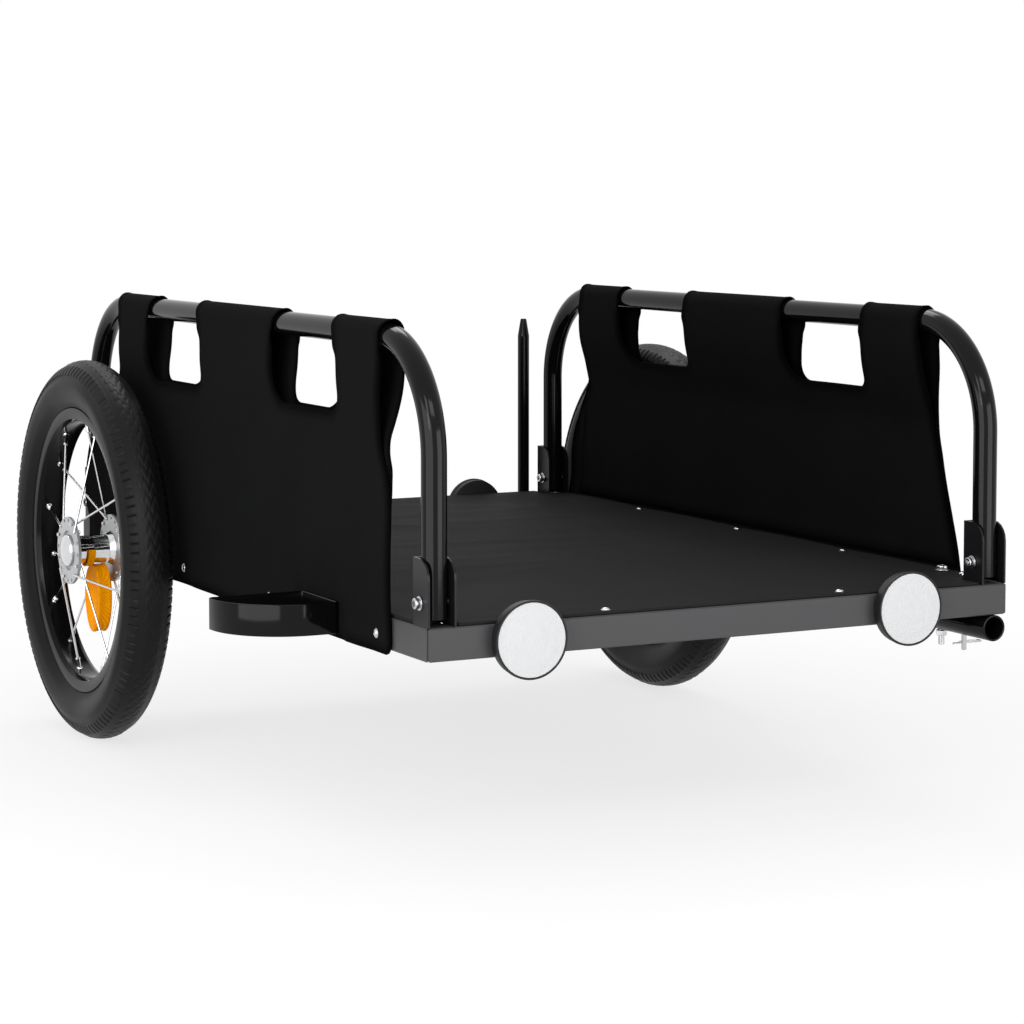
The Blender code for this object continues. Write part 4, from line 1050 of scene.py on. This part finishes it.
deck = dict(
    thickness=0.0020, cell=0.005, cornerRadius=0.003, notchGap=0.0022,
    sag=0.0010, freeSpan=(0.026, 0.060),        # the cloth comes free of the rails this far from its edge
    tubeRise=0.0005, tubeWidth=0.014,
    edgeLift=0.0009, edgeSpan=(0.004, 0.030), liftStart=(0.05, 0.12), liftEnd=(0.80, 0.86), studPitch=0.209,
    sideStuds=(0.254, 0.459, 0.672), sideInset=0.014, endStuds=(-0.123, 0.123), endInset=0.013,
    # ridges: start x, start y, end x, end y, height, width
    ridges=((-0.27, 0.86, 0.02, 0.62, 0.0011, 0.020), (-0.22, 0.80, 0.10, 0.70, -0.0009, 0.026),
            (-0.26, 0.70, -0.06, 0.83, 0.0009, 0.018), (-0.25, 0.62, 0.05, 0.50, 0.0007, 0.028),
            (0.02, 0.86, 0.22, 0.74, 0.0008, 0.024), (-0.20, 0.30, 0.02, 0.44, 0.0007, 0.032),
            (0.05, 0.24, 0.25, 0.36, -0.0007, 0.030), (-0.05, 0.10, 0.12, 0.20, 0.0006, 0.028),
            (0.08, 0.55, 0.27, 0.60, 0.0006, 0.024), (-0.28, 0.52, 0.24, 0.47, 0.0008, 0.014),
            (-0.24, 0.40, 0.26, 0.41, -0.0006, 0.016), (-0.10, 0.66, 0.26, 0.66, 0.0007, 0.014),
            (-0.26, 0.22, 0.00, 0.30, 0.0006, 0.018)),
)


def deckShape():
    low, high = nodeSpan("deck_fabric")
    front = nodeSpan("bracket_front_right")
    rear = nodeSpan("bracket_rear_right")
    notchX = front[0][0] - deck["notchGap"]
    frontNotch, rearNotch = front[1][1] + deck["notchGap"], rear[0][1] - deck["notchGap"]

    def distance(x, y):
        # inside the rectangle and outside the four corner cut-outs, all with small round corners
        x = np.abs(x)
        edge = roundedBoth(high[0] - x, np.minimum(y - low[1], high[1] - y), deck["cornerRadius"])
        corner = np.maximum(notchX - x, np.minimum(y - frontNotch, rearNotch - y))
        return np.minimum(edge, corner)

    spans = [(low[k] - deck["cell"], high[k] + deck["cell"]) for k in (0, 1)]
    plane, quads = cutCloth(*spans, deck["cell"], distance)
    x, y = plane.T
    border = distance(x, y)
    inner = smoothStep(border, *deck["freeSpan"])
    height = -deck["sag"] * inner
    for startX, startY, endX, endY, rise, width in deck["ridges"]:
        along = np.array([endX - startX, endY - startY])
        length = np.linalg.norm(along)
        along /= length
        t = ((x - startX) * along[0] + (y - startY) * along[1]) / length
        off = (x - startX) * -along[1] + (y - startY) * along[0]
        height += rise * np.exp(-(off / width) ** 2) * boxed(t, 0.15, 0.85, 0.30) * inner
    for tube in ("front_cross_tube", "axle_cross_tube"):
        height += deck["tubeRise"] * np.exp(-((y - nodeMiddle(tube)[1]) / deck["tubeWidth"]) ** 2) * inner
    # the edge lifts a little between its studs
    near = (1 - smoothStep(border, *deck["edgeSpan"])) * (np.abs(x) > notchX)
    near = near * smoothStep(y, *deck["liftStart"]) * (1 - smoothStep(y, *deck["liftEnd"]))
    arch = np.abs(np.sin(math.pi * (y - deck["sideStuds"][0]) / deck["studPitch"]))
    height += deck["edgeLift"] * near * arch
    middle = (low[2] + high[2]) / 2
    points = np.stack([x, y, middle + height], axis=1)
    return points, quads, plane, border


points, quads, plane, border = deckShape()
sheet = clothPiece("deck_fabric_cloth", points, quads, plane, border, deck["thickness"], deckCloth,
                   ("deck_fabric",))
declareSheet("deck", (np.ptp(plane[:, 0]), np.ptp(plane[:, 1])), flatArea(plane, quads))


# Press studs on the deck and the covers

stud = dict(radius=0.0036, height=0.0017, collar=0.0044, collarHeight=0.0005, sink=0.0010, deckSink=0.0003,
            coverOut=0.0008, steps=24)


def studShape(centre, axis, sign):
    low, wide, step = -stud["sink"], stud["collar"], stud["collarHeight"]
    profile = [(0, low), (wide, low), (wide, step * 0.5), (wide - 0.0004, step), (stud["radius"], step)]
    profile += domedProfile(stud["radius"], step, stud["height"], 6)[1:]
    return turnedShape(profile, centre, axis, stud["steps"], sign=sign)


deckTop = nodeSpan("deck_fabric")[1][2] - stud["deckSink"]
deckStuds = [studShape((side * (halfWidth - deck["sideInset"]), y, deckTop), "z", 1)
             for sideName, side in sides for y in deck["sideStuds"]]
deckStuds += [studShape((x, y, deckTop), "z", 1)
              for x in deck["endStuds"] for y in (deck["endInset"], frameLength - deck["endInset"])]
makePiece("deck_studs", deckStuds, "chassis", brightMetal)
coverSide = halfWidth + cover["standOff"] + stud["coverOut"]
coverStuds = [studShape((side * coverSide, y, cover["studHeight"]), "x", side)
              for sideName, side in sides for y in cover["studs"]]
makePiece("cover_studs", coverStuds, "chassis", brightMetal)
print("studs made")


# Bolts of the hoop brackets: a washer, a round head with a six-sided socket, and a rounded tip

bolt = dict(washerRadius=0.0062, washerHeight=0.0009, washerRound=0.0003, headRadius=0.0048, headHeight=0.0046,
            headRound=0.0008, headSteps=4, socket=0.0027, socketDepth=0.0026, socketTip=0.0004, shank=0.003,
            tip=0.0018, headReach=0.0055, steps=48)


def boltHead(size, base, axis, sign=1):
    # the washer, the head and its socket, standing out from the base along the axis
    start, top, wide = size["washerHeight"], size["washerHeight"] + size["headHeight"], size["washerRadius"]
    washer = filleted([(0, 0), (wide, 0), (wide, start), (0, start)], size["washerRound"], 3)
    head = [(0, start), (size["headRadius"], start), (size["headRadius"], top), (size["socket"], top)]
    head = filleted(head, size["headRound"], size["headSteps"])
    low = top - size["socketDepth"]
    well = [(size["socket"], top), (size["socket"], low), (0, low - size["socketTip"])]
    return [turnedShape(washer, base, axis, size["steps"], sign=sign),
            turnedShape(head, base, axis, size["steps"], sign=sign),
            turnedShape(well, base, axis, size["steps"], sign=sign, corners=6)]


def boltShapes(node):
    low, high = nodeSpan(node)
    face = low[0] + bolt["headReach"]
    base = (face, *((low + high) / 2)[1:])
    reach = high[0] - face - bolt["tip"]
    shank = [(0, 0), (bolt["shank"], 0), (bolt["shank"], -reach - bolt["tip"] * 0.4)]
    shank += [(bolt["shank"] * math.cos(a), -reach - bolt["tip"] * (0.4 + 0.6 * math.sin(a)))
              for a in np.linspace(0.3, math.pi / 2, 5)]
    return boltHead(bolt, base, "x", -1) + [turnedShape(shank, base, "x", bolt["steps"], sign=-1)]


for end in ("front", "rear"):
    for sideName, side in sides:
        node = "bracket_bolt_" + end + "_" + sideName
        makePiece(node + "_set", boltShapes(node), "chassis", brightMetal, (node,))
print("bolts made")


# Round reflectors: a moulded cup with a rounded rim and a lens with rings

reflector = dict(steps=96, rimRound=0.0008, rimDepth=0.004, seatDepth=0.0026, ledge=0.0012, lensGap=0.0004,
                 lensCrown=0.0010, ringHeight=0.00012)
reflectorSpots = {
    "front_left": whiteLens, "front_right": whiteLens, "rear_left": redLens, "rear_right": redLens}
for spot, look in reflectorSpots.items():
    cup = spot + "_reflector_cup"
    low, high = nodeSpan(cup)
    lensLow, lensHigh = nodeSpan(spot + "_reflector_lens")
    sign = 1 if spot.startswith("rear") else -1
    seatY = low[1] if sign > 0 else high[1]
    centre = ((low + high) / 2) * (1, 0, 1) + (0, seatY, 0)
    radius, depth, lensRadius = (high[0] - low[0]) / 2, high[1] - low[1], (lensHigh[0] - lensLow[0]) / 2
    step, seat = depth - reflector["rimDepth"], depth - reflector["seatDepth"]
    back, recess = radius - reflector["ledge"], lensRadius + reflector["lensGap"]
    profile = filleted([(0, 0), (back, 0), (back, step), (radius, step), (radius, depth), (recess, depth),
                        (recess, seat), (0, seat)], reflector["rimRound"], 3)
    makePiece(cup + "_shell", [turnedShape(profile, centre, "y", reflector["steps"], sign=sign)], "chassis",
              blackPlastic, (cup,))
    face = np.linspace(1, 0, 13)
    rise = depth - reflector["lensCrown"] * face ** 2 + reflector["ringHeight"] * np.cos(face * 6 * math.pi)
    lens = [(0, seat + 0.0003), (lensRadius, seat + 0.0003)] + list(zip(lensRadius * face, rise))
    makePiece(spot + "_reflector_lens_face", [turnedShape(lens, centre, "y", reflector["steps"], sign=sign)],
              "chassis", look, (spot + "_reflector_lens",))
print("reflectors made")


# Drawbar socket with its bolt, nut, pin and clip

socket = dict(
    wall=0.0020, rimRound=0.0006, steps=72, wire=0.0009, clipTurn=0.004,
    nutFace=0.0048, nutCorner=0.0058, nutHeight=0.0055, nutBevel=0.0006,
    nutFootBevel=0.0007, nutGap=0.0003,
    pinHead=0.0055, pinHeadHeight=0.004, pinHeadEdge=0.0012, pinRadius=0.0025,
    bolt=dict(bolt, washerRadius=0.0066, washerHeight=0.001, headRadius=0.0052, headHeight=0.004,
              headRound=0.0012, headSteps=5, socket=0.0028, socketDepth=0.0022),
)


def socketTube():
    low, high = nodeSpan("drawbar_socket")
    radius, length = (high[0] - low[0]) / 2, high[1]
    bore = radius - socket["wall"]
    ring = [(bore, 0), (radius, 0), (radius, length), (bore, length)]
    ring = filleted(ring, socket["rimRound"], 3, closed=True)
    return [turnedShape(ring, (low + high) / 2 * (1, 0, 1), "y", socket["steps"], closedProfile=True)]


makePiece("drawbar_socket_tube", socketTube(), "chassis", blackEnamel, ("drawbar_socket",))


def socketBolt():
    # the head with its washer on the deck, the shank through rail and socket, and a six-sided nut below
    low, high = nodeSpan("socket_bolt")
    size = socket["bolt"]
    middle = (low + high) / 2 * (1, 1, 0)
    tubeLow, tubeHigh = nodeSpan("drawbar_socket")
    tubeRadius = (tubeHigh[0] - tubeLow[0]) / 2
    under = (tubeLow[2] + tubeHigh[2]) / 2 - tubeRadius - socket["nutGap"]
    seat = high[2] - size["washerHeight"] - size["headHeight"]
    shank = [(0, seat), (size["shank"], seat), (size["shank"], low[2] + 0.0006), (0.0024, low[2]), (0, low[2])]
    face, corner, bevel = (socket[key] for key in ("nutFace", "nutCorner", "nutBevel"))
    foot = under - socket["nutHeight"]
    nut = [(0, under), (face, under), (corner, under - bevel), (corner, foot + socket["nutFootBevel"]),
           (face, foot), (0, foot)]
    return boltHead(size, middle + (0, 0, seat), "z") + [
        turnedShape(shank, middle, "z", 32), turnedShape(nut, middle, "z", 24, corners=6)]


def lockingPin():
    # a domed head on the deck, and the pin down through the socket with a rounded end
    low, high = nodeSpan("locking_pin")
    base = (low + high) / 2 * (1, 1, 0)
    wide, thin = socket["pinHead"], socket["pinRadius"]
    seat = high[2] - socket["pinHeadHeight"]
    edge = seat + socket["pinHeadEdge"]
    head = [(0, seat), (wide, seat), (wide, edge)] + domedProfile(wide, edge, high[2] - edge, 8)[1:]
    rod = [(0, seat), (thin, seat), (thin, low[2] + 0.0016), (thin - 0.0007, low[2] + 0.0004), (0, low[2])]
    return [turnedShape(head, base, "z", 48), turnedShape(rod, base, "z", 32)]


def pinClip():
    # a round wire through the pin that turns back over it in a half ring
    low, high = nodeSpan("pin_clip")
    pin = nodeMiddle("locking_pin")
    height, turn = (low[2] + high[2]) / 2, socket["clipTurn"]
    y = pin[1]
    arc = arcPoints((high[0] - turn - socket["wire"], y + turn), turn, -90, 90, 16)
    back = [(pin[0] + 0.0040, y + 0.0080), (pin[0] + 0.0015, y + 0.0072), (pin[0] - 0.0010, y + 0.0062)]
    line = np.concatenate([[(low[0] + 0.0001, y)], arc, back])
    path = np.stack([line[:, 0], line[:, 1], np.full(len(line), height)], axis=1)
    return [sweptShape(path, circleSection(socket["wire"], 12), (0, 0, 1))]


makePiece("socket_bolt_set", socketBolt(), "chassis", brightMetal, ("socket_bolt",))
makePiece("locking_pin_rod", lockingPin(), "chassis", brightMetal, ("locking_pin",))
makePiece("pin_clip_wire", pinClip(), "chassis", brightMetal, ("pin_clip",))
print("socket made")


# Wheel deflectors: a flat strip with rounded edges bent into a loop

deflector = dict(strip=0.002, frontCurve=0.070, rearCurve=0.006, footCurve=0.004, edgeRound=0.0007)


def deflectorShape(sideName, side):
    low, high = nodeSpan("wheel_deflector_" + sideName)
    inset = deflector["strip"] / 2
    near, far = min(abs(low[0]), abs(high[0])) + inset, max(abs(low[0]), abs(high[0])) - inset
    front, rear = low[1] + inset, high[1] - inset
    foot, curve, corner = (deflector[k] - inset for k in ("footCurve", "frontCurve", "rearCurve"))
    line = np.concatenate([
        arcPoints((near + foot, front + foot), foot, 180, 270, 8),
        arcPoints((far - curve, front + curve), curve, 270, 360, 40),
        arcPoints((far - corner, rear - corner), corner, 0, 90, 10),
        arcPoints((near + foot, rear - foot), foot, 90, 180, 8)])
    path = np.stack([side * line[:, 0], line[:, 1], np.full(len(line), (low[2] + high[2]) / 2)], axis=1)
    half, tall = deflector["strip"] / 2, (high[2] - low[2]) / 2
    corners = [(-tall, -half), (tall, -half), (tall, half), (-tall, half)]
    section = filleted(corners, deflector["edgeRound"], 3, closed=True)
    return sweptShape(path, section, (0, 0, 1), closed=True)


for sideName, side in sides:
    node = "wheel_deflector_" + sideName
    makePiece(node + "_strip", [deflectorShape(sideName, side)], "chassis", blackEnamel,
              (node,))


# Flag post, round with a pointed top

post = dict(point=0.021, edgeRound=0.0012)


def postShape():
    low, high = nodeSpan("flag_post")
    radius, top = (high[0] - low[0]) / 2, high[2]
    profile = [(0, low[2]), (radius, low[2]), (radius, top - post["point"]), (radius / 2, top), (0, top)]
    profile = filleted(profile, post["edgeRound"], 4)
    return turnedShape(profile, (low + high) / 2 * (1, 1, 0), "z", 48)


makePiece("flag_post_rod", [postShape()], "chassis", blackEnamel, ("flag_post",))
print("deflectors and post made")


# Floor, light and camera

# nearWhite is how much of the floor's white is fixed close to the trailer; the rest shows light and shadow
studio = dict(floorHalf=30.0, floorShade=0.88, worldLight=0.60, nearWhite=0.74, fadeStart=0.45, fadeEnd=1.2)
softBoxes = (
    # place, width, height, watts, and the height over the trailer's middle at which it is aimed
    ((-1.50, -0.45, 0.52), 1.70, 1.04, 17, 0.52),
    ((0.62, -1.62, 0.50), 1.40, 1.00, 18, 0.50),
    ((-2.4, -1.7, 1.9), 0.8, 1.4, 18, 0.25),
    ((-0.6, -3.4, 3.2), 2.4, 1.0, 36, 0.25),
    ((0.3, 2.2, 2.6), 1.8, 0.9, 22, 0.25),
)


def plainlySeen(tree):
    # 1 for the rays that see a backdrop straight, in a mirror or through glass, and 0 for those that light
    path = addNode(tree, "ShaderNodeLightPath").outputs
    mirrored = mathNode(tree, "MAXIMUM", path["Is Glossy Ray"], path["Is Transmission Ray"])
    return mathNode(tree, "MAXIMUM", path["Is Camera Ray"], mirrored)


def floorMaterial():
    # a pale floor that holds the object's shadow and fades to plain white away from it
    material = bpy.data.materials.new("floor")
    material.use_nodes = True
    tree = material.node_tree
    shader = tree.nodes["Principled BSDF"]
    shader.inputs["Base Color"].default_value = (studio["floorShade"],) * 3 + (1,)
    shader.inputs["Roughness"].default_value = 0.9
    shader.inputs["Specular IOR Level"].default_value = 0.1
    place = addNode(tree, "ShaderNodeTexCoord").outputs["Object"]
    radius = addNode(tree, "ShaderNodeVectorMath", {0: place}, operation="LENGTH").outputs["Value"]
    far = addNode(tree, "ShaderNodeMapRange", {
        "Value": radius, "From Min": studio["fadeStart"], "From Max": studio["fadeEnd"]},
        interpolation_type="SMOOTHSTEP").outputs["Result"]
    whiteness = mathNode(tree, "MULTIPLY_ADD", far, 1 - studio["nearWhite"], studio["nearWhite"])
    share = mathNode(tree, "MULTIPLY", plainlySeen(tree), whiteness)
    white = addNode(tree, "ShaderNodeEmission", {"Color": (1, 1, 1, 1), "Strength": 1.0})
    mix = addNode(tree, "ShaderNodeMixShader", {0: share, 1: shader.outputs[0], 2: white.outputs[0]})
    tree.links.new(mix.outputs[0], tree.nodes["Material Output"].inputs["Surface"])
    return material


def makeFloor():
    half = studio["floorHalf"]
    mesh = bpy.data.meshes.new("floor")
    corners = [(-half, -half, 0), (half, -half, 0), (half, half, 0), (-half, half, 0)]
    mesh.from_pydata(corners, [], [(0, 1, 2, 3)])
    floor = bpy.data.objects.new("floor", mesh)
    bpy.context.scene.collection.objects.link(floor)
    middle = (np.array(cadBounds[0]) + np.array(cadBounds[1])) / 2
    floor.location = (middle[0], middle[1], trailerOrigin[2])
    floor.data.materials.append(floorMaterial())


def makeWorld():
    world = bpy.data.worlds.new("studio")
    bpy.context.scene.world = world
    world.use_nodes = True
    tree = world.node_tree
    background = tree.nodes["Background"]
    background.inputs["Color"].default_value = (1, 1, 1, 1)
    lighting = studio["worldLight"]
    strength = mathNode(tree, "MULTIPLY_ADD", plainlySeen(tree), 1 - lighting, lighting)
    tree.links.new(strength, background.inputs["Strength"])


def makeLights():
    for number, (place, width, height, watts, aimHeight) in enumerate(softBoxes):
        aim = np.array([0, frameLength / 2, aimHeight]) + trailerOrigin
        lamp = bpy.data.lights.new("soft_box_" + str(number + 1), "AREA")
        lamp.shape = "RECTANGLE"
        lamp.size, lamp.size_y, lamp.energy = width, height, watts
        made = bpy.data.objects.new(lamp.name, lamp)
        bpy.context.scene.collection.objects.link(made)
        spot = np.array(place) + trailerOrigin
        made.location = spot
        away = spot - aim
        turn = math.atan2(away[1], away[0]) + math.pi / 2
        tilt = math.atan2(math.hypot(away[0], away[1]), away[2])
        made.rotation_euler = (tilt, 0, turn)
        made.visible_camera = False


cameraLook = dict(place=(-1.3170, -2.1292, 0.5908), turn=27.2103, pitch=4.1122, lens=98.82, sensor=36.0,
                  shiftY=-0.12)


def makeCamera():
    data = bpy.data.cameras.new("camera")
    data.lens, data.sensor_width, data.shift_y = (cameraLook[key] for key in ("lens", "sensor", "shiftY"))
    data.clip_end = 200
    camera = bpy.data.objects.new("camera", data)
    bpy.context.scene.collection.objects.link(camera)
    camera.location = np.array(cameraLook["place"]) + trailerOrigin
    camera.rotation_euler = (math.radians(90 - cameraLook["pitch"]), 0, math.radians(-cameraLook["turn"]))
    bpy.context.scene.camera = camera


makeFloor()
makeWorld()
makeLights()
makeCamera()
bpy.context.scene.view_settings.view_transform = "Standard"
print("floor, light and camera made")
